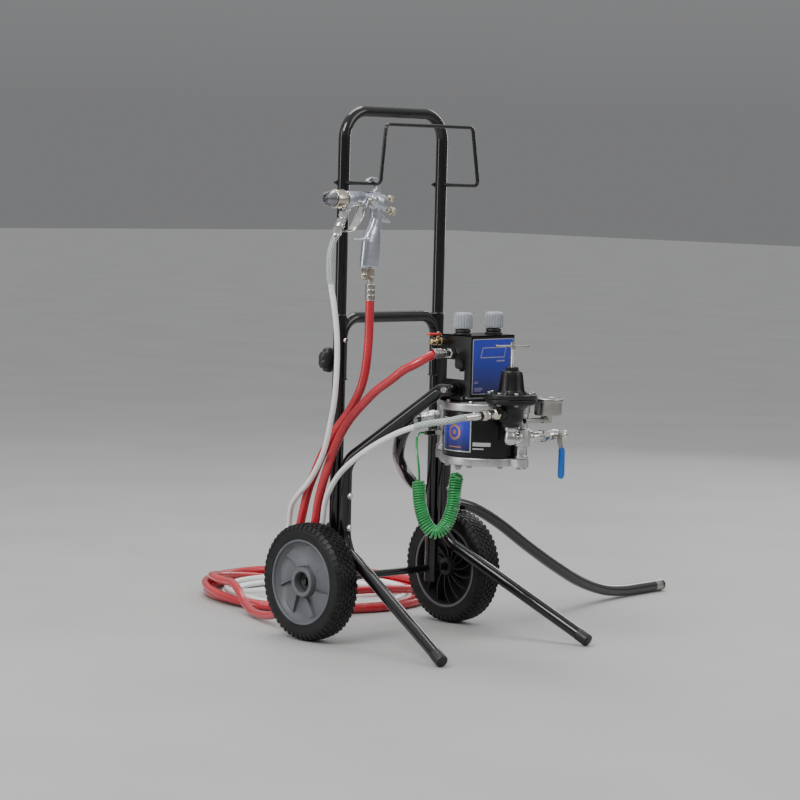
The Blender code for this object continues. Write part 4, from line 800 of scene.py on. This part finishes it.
PUMP_Y, OUTLET_Y, INLET_Y, OUTLET_Z = -0.3, -0.408, -0.178, 0.462
case = solid((88, 512.7), (90, 511), (90, 419), (88, 417.3))
piece("pump_case", "pump_paint", "frame", revolve(case, (0, PUMP_Y, 0), Z, 96, 0.001),
    replaces=["pump_body"], smooth=30)


def lug_outline(radius, y, half, count=14):
    """The outline of a lug: a half circle beyond its centre, with sides back into the cover."""
    out = copysign(1, y - PUMP_Y)
    arc = [(half * cos(a), y + out * half * sin(a)) for a in (pi * k / count for k in range(count + 1))]
    root = PUMP_Y + out * (radius - 0.014)
    return [(half + 0.004, root), *arc, (-half - 0.004, root)]


for name, low, high in (("lower", 0.4, 0.417), ("upper", 0.513, 0.53)):
    dish = [(0, high - 0.001), (0.055, high - 0.001), (0.058, high), (0.0915, high), (0.093, high - 0.0015),
        (0.093, low + 0.0015), (0.0915, low), (0.058, low), (0.055, low + 0.001), (0, low + 0.001)]
    lugs = [prism(lug_outline(0.093, y, h), low + 0.0004, high - 0.0004) for y,
        h in ((OUTLET_Y, 0.0155), (INLET_Y, 0.0175))]
    piece(f"pump_{name}_plate", "aluminium", "frame", revolve(dish, (0, PUMP_Y, 0), Z, 96, 0.0008), *lugs,
        replaces=[f"pump_{name}_cover"], bevel=0.0006, smooth=30)
screws = []
for k in range(8):
    angle = TAU * (k + 0.5) / 8
    x, y = 0.084 * cos(angle), PUMP_Y + 0.084 * sin(angle)
    screws.append(hexagon((x, y, 0.53), Z, 0.0055, 0.0045))
    screws.append(hexagon((x, y, 0.4), -Z, 0.0055, 0.0045))
for y in (OUTLET_Y, INLET_Y):
    for x in (-0.0085, 0.0085):
        screws.append(hexagon((x, y - 0.001, 0.4), -Z, 0.0045, 0.0045))
screws.append(revolve(solid((6, -16), (6, 0)), (-0.043, -0.266, 0.4), Z, 20))
screws.append(hexagon((-0.043, -0.266, 0.39), Z, 0.008, 0.0045))
piece("pump_screws", "steel", "frame", *screws, smooth=30)


def curved_patch(a, b, low, high, radius, thick=0.0006, count=14):
    """A thin sheet laid on the pump's case, between two angles and two heights."""
    verts, faces = [], []
    for r in (radius, radius + thick):
        for z in (low, high):
            for i in range(count + 1):
                t = radians(a + (b - a) * i / count)
                verts.append((r * cos(t), PUMP_Y + r * sin(t), z))
    n = count + 1
    for i in range(count):
        faces += [(i, i + 1, n + i + 1, n + i), (2 * n + i, 2 * n + i + 1, 3 * n + i + 1, 3 * n + i),
            (i, i + 1, 2 * n + i + 1, 2 * n + i), (n + i, n + i + 1, 3 * n + i + 1, 3 * n + i)]
    faces += [(0, n, 3 * n, 2 * n), (count, n + count, 3 * n + count, 2 * n + count)]
    return Shape(verts, faces)


piece("pump_badge_edge", "silver_print", "frame", curved_patch(153.5, 205.5, 0.4285, 0.4985, 0.09))
piece("pump_badge", "badge_blue", "frame", curved_patch(155, 204, 0.4305, 0.4965, 0.0905, 0.0003))


def curved_ring(azimuth, z, inner, outer, radius, thick=0.0002, count=36):
    """A thin printed ring on the pump's case, round an azimuth and a height."""
    verts, faces = [], []
    for layer in (radius, radius + thick):
        for reach in (inner, outer):
            for k in range(count):
                a = TAU * k / count
                t = radians(azimuth) + reach * cos(a) / radius
                verts.append((layer * cos(t), PUMP_Y + layer * sin(t), z + reach * sin(a)))
    for k in range(count):
        n = (k + 1) % count
        for a, b in ((0, 1), (2, 3), (0, 2), (1, 3)):
            faces.append((a * count + k, a * count + n, b * count + n, b * count + k))
    return Shape(verts, faces)


piece("pump_badge_mark", "copper_print", "frame", curved_ring(179.5, 0.469, 0.0115, 0.0165, 0.0907),
    curved_ring(179.5, 0.469, 0.001, 0.005, 0.0907), curved_patch(168, 191, 0.437, 0.4392, 0.0907, 0.0002))
piece("pump_print", "silver_print", "frame", curved_patch(208, 232, 0.442, 0.45, 0.09, 0.0002),
    curved_patch(208, 223, 0.435, 0.4378, 0.09, 0.0002))

manifold = solid((13, 512.9), (13, 496), (11.8, 494.5), (11.8, 481), (16.8, 479.5), (16.8, 444.5),
    (11.8, 443), (11.8, 425), (14, 423.5), (14, 417.5))
piece("outlet_tee", "aluminium", "frame", revolve(manifold, (0, OUTLET_Y, 0), Z, 40, 0.0012),
    replaces=["outlet_manifold"])
piece("outlet_tee_arms", "chrome", "frame", revolve(solid((13, 25.5), (14.5, 23.5), (14.5, 15), (11.8, 13),
    (11.8, 0)), (0, OUTLET_Y, OUTLET_Z), X, 32), revolve(solid((13, 18.5), (14.5, 16.5), (14.5, 10)),
    (0, OUTLET_Y, OUTLET_Z), -X, 32))
piece("inlet_riser", "aluminium", "frame", revolve(solid((16.5, 512.9), (16.5, 502), (14.5, 500),
    (14.5, 430), (16.5, 428), (16.5, 417.5)), (0, INLET_Y, 0), Z, 40, 0.001),
    revolve(solid((10.5, 51.5), (12.2, 45), (10.8, 44.5), (12.2, 38), (10.8, 37.5), (13.5, 31), (13.5, 20),
    (11.5, 19), (11.5, 0)), barb_start, barb_way, 32, 0.0004), replaces=["inlet_manifold"])
clamp_at = suction_start + barb_way * 0.01
piece("suction_hose_clamp", "steel", "frame", revolve(mm((13.7, -4.5), (14.7, -4.5), (14.7, 4.5),
    (13.7, 4.5)), clamp_at, barb_way, 40, 0.0003, closed=True), revolve(solid((3.8, 7), (3.8, -7)),
    clamp_at + barb_way.orthogonal().normalized() * 0.0175, barb_way.cross(barb_way.orthogonal()), 16),
    smooth=35)

# Ball valve, with its nipple, hexagon ends and lever.
valve_at = Vector((0, OUTLET_Y, OUTLET_Z))
piece("ball_valve_case", "chrome", "frame", revolve(solid((9.5, 58.5), (10.5, 57), (10.5, 40), (9.5, 38.5),
    (9.5, 26.5)), valve_at, X, 32, 0.0008), nut(14, 58.3, 74, 1.2, 1.2, valve_at, X),
    revolve(solid((11.2, 106.5), (12.8, 102), (13.5, 96), (13.5, 86), (12.5, 79), (11.2, 74)), valve_at, X,
    40, 0.0015), nut(13.2, 106.5, 120, 1.4, 1.2, valve_at, X), revolve(solid((6, 130), (6, 133.8),
    (8.8, 133.8), (9.6, 132.5), (9.6, 119.5)), valve_at, X, 32, 0.0008),
    revolve(solid((6, 20.8), (6.8, 18), (6.8, 12)), valve_at + X * 0.091, -Y, 24, 0.0006),
    replaces=["ball_valve_body"])
lever_at = Vector((0.091, OUTLET_Y - 0.0213, OUTLET_Z))
plate_outline = mm((-7.5, 4), (-4.5, 7.8), (4.5, 7.8), (7.5, 4), (7, -11), (11.8, -24.5), (12.5, -34),
    (2, -34), (0, -24), (-6, -12))
piece("lever_plate", "steel", "outlet_lever", prism(plate_outline, -0.003, -0.0008, lever_at, Y),
    hexagon(lever_at - Y * 0.003, -Y, 0.005, 0.0032), bevel=0.0004, smooth=30)
grip = mm((-1, -27), (1.5, -23.5), (11, -23.5), (14.2, -29), (15, -55), (15.2, -82), (12.5, -88.5),
    (6, -90), (0, -88), (-2.2, -82), (-1.5, -55))
piece("lever_grip", "blue_plastic", "outlet_lever", prism(grip, -0.0058, 0.0002, lever_at, Y),
    replaces=["ball_valve_lever"], bevel=0.0018, smooth=30)

# ---------------------------------------------------------------- fluid regulator, gauge and hose fitting

REG = Vector((-0.046, -0.418, 0))
piece("regulator_bowl", "cast_black", "frame", revolve(solid((53.5, 546.2), (54.5, 545), (54.5, 538.5),
    (53, 536.5), (40, 532.5), (30, 526), (26.5, 518), (25.5, 505), (24, 499), (20.5, 496), (19, 493),
    (19, 487)), REG, Z, 72, 0.0012), revolve(solid((12.5, 35.5), (14, 33.5), (14, 10)), REG + Z * 0.516, -X,
    32), replaces=["fluid_regulator_body"])
piece("regulator_inlet_elbow", "chrome", "frame", revolve(mm((0, 487.2), (13, 487.2), (13, 480),
    (10.5, 478.5), (11.2, 474), (12.6, 468), (12.8, 461), (11.5, 454), (8, 450), (0, 448.8)), REG, Z, 40,
    0.0012), sweep([REG + Vector((0, 0, OUTLET_Z + 0.001)), (-0.0185, OUTLET_Y, OUTLET_Z + 0.001)], 0.0095,
    28), smooth=35)
bonnet = mm((7.5, 604.5), (19.5, 604.5), (21.8, 602.5), (23.2, 590), (25.8, 564), (30, 557.5), (36, 556),
    (53.5, 556), (54.5, 554.8), (54.5, 547), (21, 547), (7.5, 596))
lock_nut = mm((5.5, 604.5), (12.6, 604.5), (13.8, 605.5), (13.8, 611), (12.6, 612), (5.5, 612))
bonnet_ribs = []
for k in range(8):
    angle = TAU * (k + 0.5) / 8
    c, s = cos(angle), sin(angle)
    wide = Vector((-s, c, 0)) * 0.0014
    profile = mm((20, 556), (37, 556), (28.5, 564), (23.8, 598), (20, 598))
    verts = [REG + Vector((r * c, r * s, z)) + wide * v for v in (-1, 1) for r, z in profile]
    bonnet_ribs.append(Shape(verts, capped(len(profile))))
piece("regulator_top", "cast_black", "frame", revolve(bonnet, REG, Z, 72, 0.0012, closed=True),
    revolve(lock_nut, REG, Z, 6, 0.0, closed=True), *bonnet_ribs, replaces=["fluid_regulator_bonnet"])
flange_bolts = []
for k in range(8):
    angle = TAU * k / 8 + 0.2
    spot = REG + Vector((0.0465 * cos(angle), 0.0465 * sin(angle), 0))
    flange_bolts += [hexagon(spot + Z * 0.556, Z, 0.0048, 0.0042),
        hexagon(spot + Z * 0.5368, -Z, 0.0048, 0.004)]
piece("regulator_bolts", "steel", "frame", *flange_bolts, smooth=30)
bar_way = Vector((0.97, -0.24, 0)).normalized()
bar_at = REG + Z * 0.6555
threads = mm((0, 663), (5, 663)) + [(0.0044 + 0.0003 * (k % 2), 0.648 - 0.0008 * k) for k in range(56)]
piece("pressure_t_screw", "steel", "regulator_screw", revolve(threads + [(0, 0.6035)], REG, Z, 24, 0.0),
    revolve(solid((6, 660), (6, 651)), REG, Z, 24, 0.0008), sweep([bar_at - bar_way * 0.04,
    bar_at + bar_way * 0.04], 0.0022, 16), *[revolve(mm((0, 1.5), (3, 1), (3, -2.5), (0, -2.5)),
    bar_at + way * 0.039, way, 16) for way in (bar_way, -bar_way)], replaces=["pressure_screw"], smooth=50)

GAUGE = Vector((0.054, -0.43, 0))
piece("gauge_case", "steel", "frame", revolve(mm((26.2, 542), (27, 544.7), (28.5, 545), (30.8, 543.8),
    (31.2, 542), (31.2, 538.5), (29.8, 537), (29.2, 536), (29.2, 511), (27.5, 508.5), (9, 508),
    (8.5, 492.5), (0, 492.5), (0, 539.5), (26.2, 539.5)), GAUGE, Z, 72, 0.0006),
    revolve(solid((7.5, 17.5), (8.5, 16.5), (8.5, 6)), (GAUGE.x, GAUGE.y, 0.499), -X, 6, 0.0),
    sweep([(REG.x + 0.0295, GAUGE.y, 0.499), (GAUGE.x, GAUGE.y, 0.499)], 0.0055, 24),
    replaces=["pressure_gauge"])
piece("gauge_dial", "dial", "frame", revolve(solid((26.2, 540.5), (26.2, 539.7)), GAUGE, Z, 64, 0.0))
marks = []
for k in range(31):
    angle = radians(225 - 9 * k)
    long = 0.0045 if k % 5 == 0 else 0.0025
    c, s = cos(angle), sin(angle)
    wide = Vector((-s, c, 0)) * (0.00035 if k % 5 == 0 else 0.0002)
    inner, outer = Vector((c, s, 0)) * (0.024 - long), Vector((c, s, 0)) * 0.024
    base = [GAUGE + Z * 0.5405 + p for p in (inner - wide, inner + wide, outer + wide, outer - wide)]
    marks.append(Shape(base + [p + Z * 0.00015 for p in base], capped(4)))
needle = [GAUGE + Vector((a, b, 0.541)) for a, b in ((-0.006, -0.0065), (-0.0068, -0.0055), (0.014, 0.015))]
marks.append(Shape(needle + [p + Z * 0.0004 for p in needle], capped(3)))
marks.append(revolve(solid((2.2, 541.8), (2.2, 540.5)), GAUGE, Z, 20))
piece("gauge_marks", "ink", "frame", *marks)
piece("gauge_glass", "glass", "frame", revolve(mm((0, 544), (26.8, 543.8), (26.8, 543), (0, 543)), GAUGE, Z,
    64, 0.0))

fitting = solid((8.5, 0), (8.5, 7), (10, 8), (10, 20), (8.5, 21), (8.5, 33), (10.2, 34), (10.2, 42),
    (6.8, 43), (6.8, 60), (8, 62), (8.8, 64), (8.8, 79), (8, 80), (7.5, 103.5))
piece("fluid_hose_end", "chrome", "frame", revolve(fitting, fluid_start, fluid_way, 40, 0.0008),
    replaces=["fluid_outlet_fitting"])
piece("fluid_hose_nuts", "nickel", "frame", nut(12.2, 7.6, 20, 1.7, 1.2, fluid_start, fluid_way),
    nut(11.6, 42, 55, 1.6, 1.2, fluid_start, fluid_way), smooth=30)
piece("fluid_hose_rings", "rubber", "frame", revolve(mm((6.5, 56.2), (9.2, 56.2), (9.2, 59.2), (6.5, 59.2)),
    fluid_start, fluid_way, 32, 0.0004, closed=True), revolve(mm((6.5, 34), (10.6, 34), (10.6, 36.2),
    (6.5, 36.2)), fluid_start, fluid_way, 32, 0.0004, closed=True), smooth=40)

# ---------------------------------------------------------------- bracket and air panel

bracket_y = (-0.291, -0.233)
ear = [(bracket_y[0], 0.5304), (bracket_y[1], 0.5304), (bracket_y[1], 0.559),
    (bracket_y[1] - 0.012, 0.5705), (bracket_y[0] + 0.01, 0.5705), (bracket_y[0], 0.561)]
piece("bracket_plate", "sheet_paint", "frame", slab((-0.07, bracket_y[0], 0.5303),
    (0.07, bracket_y[1], 0.5348)), prism(ear, -0.07, -0.0665, across=X), prism(ear, 0.0665, 0.07, across=X),
    replaces=["pump_bracket"], bevel=0.0008, smooth=30)

W, FRONT, BACK, T = 0.065, -0.318, -0.23, 0.002


def channel(front, back, bend=0.003):
    """A folded sheet seen from above: left cheek, front, right cheek, as far back as given."""
    outer = rounded([(-W, back, 0), (-W, front, 0), (W, front, 0), (W, back, 0)], bend, 4)
    inner = rounded([(-W + T, back, 0), (-W + T, front + T, 0), (W - T, front + T, 0), (W - T, back, 0)],
        bend - T, 4)
    return [(p.x, p.y) for p in outer + inner[::-1]]


window_front, window_back, window_low, window_high = FRONT + 0.02, BACK - 0.014, 0.577, 0.618
strips = []
for side in (-1, 1):
    a, b = sorted((side * W, side * (W - T)))
    strips.append(slab((a, window_back, window_low), (b, BACK, window_high)))
top = rounded([(-W, BACK, 0), (-W, FRONT, 0), (W, FRONT, 0), (W, BACK, 0)], 0.003, 4)
piece("panel_sheet", "sheet_paint", "frame", prism(channel(FRONT, BACK), 0.541, window_low),
    prism(channel(FRONT, window_front), window_low, window_high),
    prism(channel(FRONT, BACK), window_high, 0.6702), *strips, prism([(p.x, p.y)
    for p in top], 0.6682, 0.6702), replaces=["panel_box"], smooth=30)
border = rounded(mm((-61.8, 0, 545), (-61.8, 0, 663.5), (60, 0, 663.5), (60, 0, 545), (-61.8, 0, 545)),
    0.003, 4)
label = [(p.x, p.z) for p in border[1:-1]]
piece("panel_label_edge", "silver_print", "frame", prism([(-0.0618, 0.5475)] + label[:-1], FRONT - 0.0005,
    FRONT, (0, 0, 0), Y), smooth=30)
inset = [(a * 0.972, 0.6042 + (b - 0.6042) * 0.974) for a, b in [(-0.0618, 0.5475)] + label[:-1]]
piece("panel_label", "label_blue", "frame", prism(inset, FRONT - 0.0008, FRONT - 0.0004, across=Y),
    smooth=30)
bars = [slab((-0.056, FRONT - 0.0011, z), (-0.056 + w, FRONT - 0.0007, z + 0.0012)) for z,
    w in ((0.554, 0.02), (0.557, 0.026), (0.56, 0.024), (0.57, 0.012), (0.573, 0.012))]
outline = mm((-39, 623), (33, 623), (39, 646), (-33, 646))
bars += [prism(outline, FRONT - 0.001, FRONT - 0.0007, across=Y), slab((0.01, FRONT - 0.0011, 0.615),
    (0.034, FRONT - 0.0007, 0.618))]
piece("panel_label_print", "print_violet", "frame", *bars, smooth=30)
inner = mm((-35.8, 625.5), (31.3, 625.5), (35.8, 643.5), (-31.3, 643.5))
piece("panel_label_fill", "label_blue", "frame", prism(inner, FRONT - 0.0012, FRONT - 0.0009, across=Y),
    smooth=30)

piece("panel_stay", "sheet_paint", "frame", slab((0.135, -0.0176, 0.637), (0.157, -0.0152, 0.653)),
    sweep(mm((135, -16.4, 645), (67, -212, 645), (67, -241.5, 645)), 0.008, 4, 0.16),
    replaces=["panel_strut"], smooth=30)

for side, name in ((-1, "left"), (1, "right")):
    place = Vector((side * 0.0463, -0.272, 0))
    collar = solid((15, 682), (16.5, 680), (16.5, 676.5), (15, 675), (15, 673.5), (18.5, 673.5),
        (18.5, 670.3))
    below = solid((15.5, 668), (15.5, 642), (16.5, 641), (16.5, 629), (15.2, 627.5), (15.2, 604),
        (13.5, 599), (6, 596.5), (5, 592.5))
    piece(name + "_regulator_collar", "black_plastic", "frame", revolve(collar, place, Z, 48),
        revolve(below, place, Z, 40), replaces=[name + "_air_regulator"])
    top = mm((0, 718), (12, 717.8), (16.5, 716.5), (19.2, 713.5), (20.2, 709), (20.5, 704), (20.5, 686),
        (19.5, 683.8), (0, 683.8))
    piece(name + "_knob_cap", "grey_plastic", name + "_air_dial", revolve(top, place, Z, 144, 0.0008,
        flutes=(20, 0.0015, 0.0198)), replaces=[name + "_air_knob"], smooth=50)

air_at = Vector((-0.065, -0.262, 0.6315))
piece("air_hose_fitting", "chrome", "frame", revolve(solid((8.8, 36), (9.4, 34.5), (9.4, 30), (8.8, 29),
    (9.4, 28), (9.4, 23), (8.6, 21.5), (8.6, 12)), air_at, -X, 32, 0.0005),
    nut(11.4, 0.6, 13, 1.4, 1.2, air_at, -X), replaces=["air_outlet_fitting"])
piece("air_hose_ferrule", "steel", "frame", revolve(mm((9.7, -1), (10.8, 0), (10.8, 3.5), (10.1, 4.5),
    (10.8, 5.5), (10.8, 10.5), (10.1, 11.5), (10.8, 12.5), (10.8, 18.5), (10.1, 19.5), (10.8, 20.5),
    (10.8, 24), (9.7, 25)), panel_end, -X, 32, 0.0004, closed=True))
bleed = Vector((-0.065, -0.2375, 0.655))
piece("bleed_valve_case", "brass", "frame", revolve(solid((5.5, 42), (6.2, 41), (6.2, 31), (8.2, 29.5),
    (8.2, 24), (7, 22.5), (7, 17), (8.2, 15.5), (8.2, 10.5), (6, 9), (6, 0.3)), bleed, -X, 24, 0.0005),
    revolve(solid((3.4, 12.4), (4, 10), (4, 0)), bleed - X * 0.02, Z, 20), replaces=["air_valve_body"])
lever_low, lever_high = (-0.115, -0.243, 0.6685), (-0.0795, -0.232, 0.673)
piece("bleed_lever_grip", "red_plastic", "bleed_lever", slab(lever_low, lever_high),
    replaces=["air_valve_lever"], bevel=0.0019, smooth=30)
piece("bleed_lever_screw", "steel", "bleed_lever", hexagon((-0.085, -0.2375, 0.673), Z, 0.0034, 0.0024))

# ---------------------------------------------------------------- spray gun

GUN_AXIS, BARREL_FRONT = 0.949, -0.2285
muzzle = Vector((BARREL_FRONT, GUN_Y, GUN_AXIS))
packing = (-0.1985, GUN_Y, 0.9425)
PIVOT = Vector((-0.1655, GUN_Y, 0.9475))
body_loft = loft(mm((-227.5, 949, 17.2, 17.2), (-215, 949.2, 17.2, 17), (-200, 950, 16, 15.5),
    (-188, 951, 15, 12.2), (-178, 952, 14, 10.4), (-165.5, 952, 13.5, 10.2), (-152, 949, 15.5, 10.6),
    (-140, 945, 18, 12.8), (-127, 941, 19.5, 13.5), (-118, 939.5, 18.5, 12.8), (-114, 939.5, 16, 11)),
    GUN_Y, 40, 2.7)
grip_loft = loft(mm((-133, 942, 15, 11.8), (-134.5, 925, 15, 12), (-136.5, 908, 13.2, 11.2),
    (-140.5, 890, 15.8, 11), (-145, 874, 20.5, 11.8), (-148.5, 858, 23.2, 12.2), (-150, 840, 23.6, 12.2),
    (-152.5, 820, 23.2, 11.8), (-154.5, 807, 22.2, 11.2), (-154.5, 804.2, 21.4, 10.4)), GUN_Y, 40, 2.6)
rest = loft(mm((-160, 866, 5.2, 9.5), (-172, 865.5, 3.4, 9.2), (-185, 864.5, 2.6, 8.5),
    (-195.5, 864, 2.2, 6.5), (-198.5, 864, 1.8, 4.5)), GUN_Y, 24, 2.2)
spur = loft(mm((-130, 912, 9.5, 10), (-118, 907, 5.5, 9.2), (-106, 903, 3.2, 7.5), (-98.5, 901.2, 2.4, 5),
    (-97, 901, 1.8, 3.5)), GUN_Y, 24, 2.2)
hook_outline = mm((-158, 962), (-141.5, 972), (-140.5, 982.5), (-143, 986.35), (-151, 986.35),
    (-156, 984.2), (-164, 986.5), (-170, 988), (-164, 992.5), (-153, 996.2), (-140, 995.5), (-132.5, 990),
    (-129, 978), (-123.5, 962))
hook = prism(hook_outline, -0.0048, 0.0048, (0, GUN_Y, 0), Y)
nut_boss = revolve(solid((8.5, 0), (9.5, -4), (9.5, -22)), boss_end, boss_way, 32)
raw = piece("gun_casting", "gun_alloy", "handle", body_loft, grip_loft, rest, spur, hook, nut_boss,
    revolve(solid((6.2, 13.5), (8, 11), (8, -11), (6.2, -13.5)), PIVOT + Vector((0.0165, 0, 0.001)), Y, 32,
    0.001), revolve(solid((5.5, 16), (7, 12), (7, -12), (5.5, -16)), packing, Y, 32, 0.001),
    replaces=["gun_body"], smooth=60)
remesh = raw.modifiers.new("cast", "REMESH")
remesh.mode, remesh.voxel_size, remesh.use_smooth_shade = "VOXEL", 0.0009, True
relax = raw.modifiers.new("relax", "SMOOTH")
relax.factor, relax.iterations = 0.5, 12

piece("gun_cap_ring", "nickel", "ring_nut", revolve(solid((18.2, 33), (19.6, 31.8), (20.5, 24), (20.5, 8.5),
    (19, 4), (17, 0.6)), muzzle, -X, 96, 0.0012), replaces=["gun_retaining_ring"], smooth=40)
piece("gun_cap", "cap_alloy", "air_cap", revolve(solid((4.5, 56), (6.2, 54.8), (9.8, 50), (13.6, 44),
    (16.8, 38.5), (17.8, 36), (17.8, 34.3)), muzzle, -X, 64, 0.0006), replaces=["gun_air_cap"], smooth=45)
horns = []
for side in (-1, 1):
    horn = [(BARREL_FRONT - 0.038, side * 0.016), (BARREL_FRONT - 0.05, side * 0.0145),
        (BARREL_FRONT - 0.062, side * 0.0108), (BARREL_FRONT - 0.0616, side * 0.008),
        (BARREL_FRONT - 0.053, side * 0.0056), (BARREL_FRONT - 0.04, side * 0.007)]
    horns.append(prism([(x, GUN_AXIS + z) for x, z in horn], -0.0042, 0.0042, (0, GUN_Y, 0), Y))
piece("gun_cap_horns", "cap_alloy", "air_cap", *horns, bevel=0.001)
piece("gun_nozzle", "nozzle", "air_cap", revolve(solid((1.4, 60), (2.2, 58.5), (4, 56.2), (8.5, 54.6)),
    muzzle, -X, 32, 0.0002), smooth=45)


def ear_plate(y0, y1):
    """One of the trigger's two side plates, which turn on the pivot screws."""
    outline = mm((5.2, 4.5), (3, 6.8), (-3, 6.8), (-5.8, 3.5), (-10.5, -8), (-16, -19.5), (-19.5, -29),
        (-13, -30), (-8.5, -18), (0.5, -8.5), (5.2, -4))
    return prism(outline, y0, y1, PIVOT, Y)


path = mm((-10.5, -15), (-15.2, -25), (-21, -37), (-28, -48), (-35, -57), (-43, -64), (-52, -66.8),
    (-60.8, -66.4))
widths = [0.0116, 0.0138, 0.0138, 0.0132, 0.0122, 0.0112, 0.0098, 0.008]
blade = loft([(PIVOT.x + a, PIVOT.z + b, 0.0016, w) for (a, b), w in zip(path, widths)], GUN_Y, 32, 3.2)
piece("gun_trigger_blade", "chrome", "trigger", blade, ear_plate(-0.0139, -0.0117),
    ear_plate(0.0117, 0.0139), replaces=["gun_trigger"], bevel=0.0005, smooth=40)
screw = mm((0, 16.8), (2.8, 16.4), (5, 15.2), (5.6, 14.2), (5.6, 14), (0, 14))
piece("gun_trigger_screws", "nickel", "handle", revolve(screw, PIVOT, -Y, 28, 0.0002),
    revolve(screw, PIVOT, Y, 28, 0.0002), revolve(mm((0, 17.5), (3.5, 17.2), (5, 16), (5, 14), (0, 14)),
    packing, -Y, 24, 0.0004), smooth=45)
piece("gun_packing_nut", "nickel", "handle", revolve(solid((3, 13), (3, 7.5), (5.2, 7), (6.2, 6), (6.2, 1)),
    (-0.1985, GUN_Y, 0.94), Vector((0.9, 0, -0.43)), 6, 0.0), smooth=30)


def gun_knob(name, node, body, place, axis, scale=1.0):
    """A small ribbed control knob on its stem."""
    stem = solid((3.4, 10), (3.4, 8), (5, 7.2), (5, 0.8))
    head = mm((0, 22.5), (4.2, 22.2), (6.2, 20.5), (7, 18), (7, 11.8), (5.8, 9.8), (0, 9.2))
    piece(name, "nickel", body, revolve([(r * scale, h * scale) for r, h in stem], place, axis, 6, 0.0),
        revolve([(r * scale, h * scale) for r, h in head], place, axis, 80, 0.0006,
        flutes=(16, 0.0006, 0.0066 * scale)), replaces=[node], smooth=45)


gun_knob("fluid_adjuster", "gun_fluid_knob", "fluid_dial", (-0.1138, GUN_Y, 0.9505), X, 1.15)
gun_knob("pattern_adjuster", "gun_pattern_knob", "pattern_dial", (-0.1093, GUN_Y, 0.9285),
    Vector((0.97, 0, -0.24)), 1.3)
gun_knob("air_adjuster", "gun_air_knob", "gun_air_dial", (-0.1665, GUN_Y, 0.804), -Z, 1.15)

piece("gun_fluid_nuts", "chrome", "handle", revolve(solid((6.8, 4.5), (6.8, 0.3)), boss_end, boss_way, 32,
    0.0003), nut(10.6, 4.4, 16, 1.4, 1.2, boss_end, boss_way), revolve(solid((8, 20.5), (8, 19),
    (8.8, 18.2), (8, 17.4), (8, 15.8)), boss_end, boss_way, 32, 0.0003),
    nut(10, 20.4, 29, 1.2, 1.1, boss_end, boss_way), revolve(solid((6.6, 31.8), (6.6, 28.8)), boss_end,
    boss_way, 32, 0.0003), revolve(solid((9.8, 40.5), (10.6, 39.6), (10.6, 32.6), (9.8, 31.6)), boss_end,
    boss_way, 48, 0.0005), revolve(solid((8.8, 56), (10.2, 54.5), (10.2, 42), (9, 40.4)), boss_end,
    boss_way, 6, 0.0), revolve(solid((8, 64.3), (8.8, 60), (8.8, 55.5)), boss_end, boss_way, 32, 0.0005),
    replaces=["gun_fluid_fitting"], smooth=32)
piece("gun_air_nipple", "nickel", "handle", nut(8.4, 3.3, 17.5, 1.2, 1.2, gun_air_top, -Z),
    revolve(solid((6, 34.5), (6, 16.5)), gun_air_top, -Z, 32, 0.0004), revolve(solid((6, 4), (6, 0.3)),
    gun_air_top, -Z, 32, 0.0004), smooth=32)
crimp = mm((0, 33), (8.8, 33), (9.6, 34))
for k in range(3):
    h = 0.0345 + 0.0115 * k
    crimp += [(0.0103, h + 0.0012), (0.0103, h + 0.008), (0.0095, h + 0.009), (0.0095, h + 0.0106)]
piece("gun_air_ferrule", "steel", "handle", revolve(crimp + mm((10, 69.5), (0, 69.5)), gun_air_top, -Z, 40,
    0.0004), replaces=["gun_air_fitting"])

# ---------------------------------------------------------------- inner pieces that stay as the CAD has them

for node, material in (("diaphragm_rod", "steel"), ("lower_diaphragm", "rubber"), ("upper_diaphragm", "rubber"),
                       ("regulator_spring", "steel")):
    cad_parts[node].data.materials.clear()
    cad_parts[node].data.materials.append(MATERIALS[material])
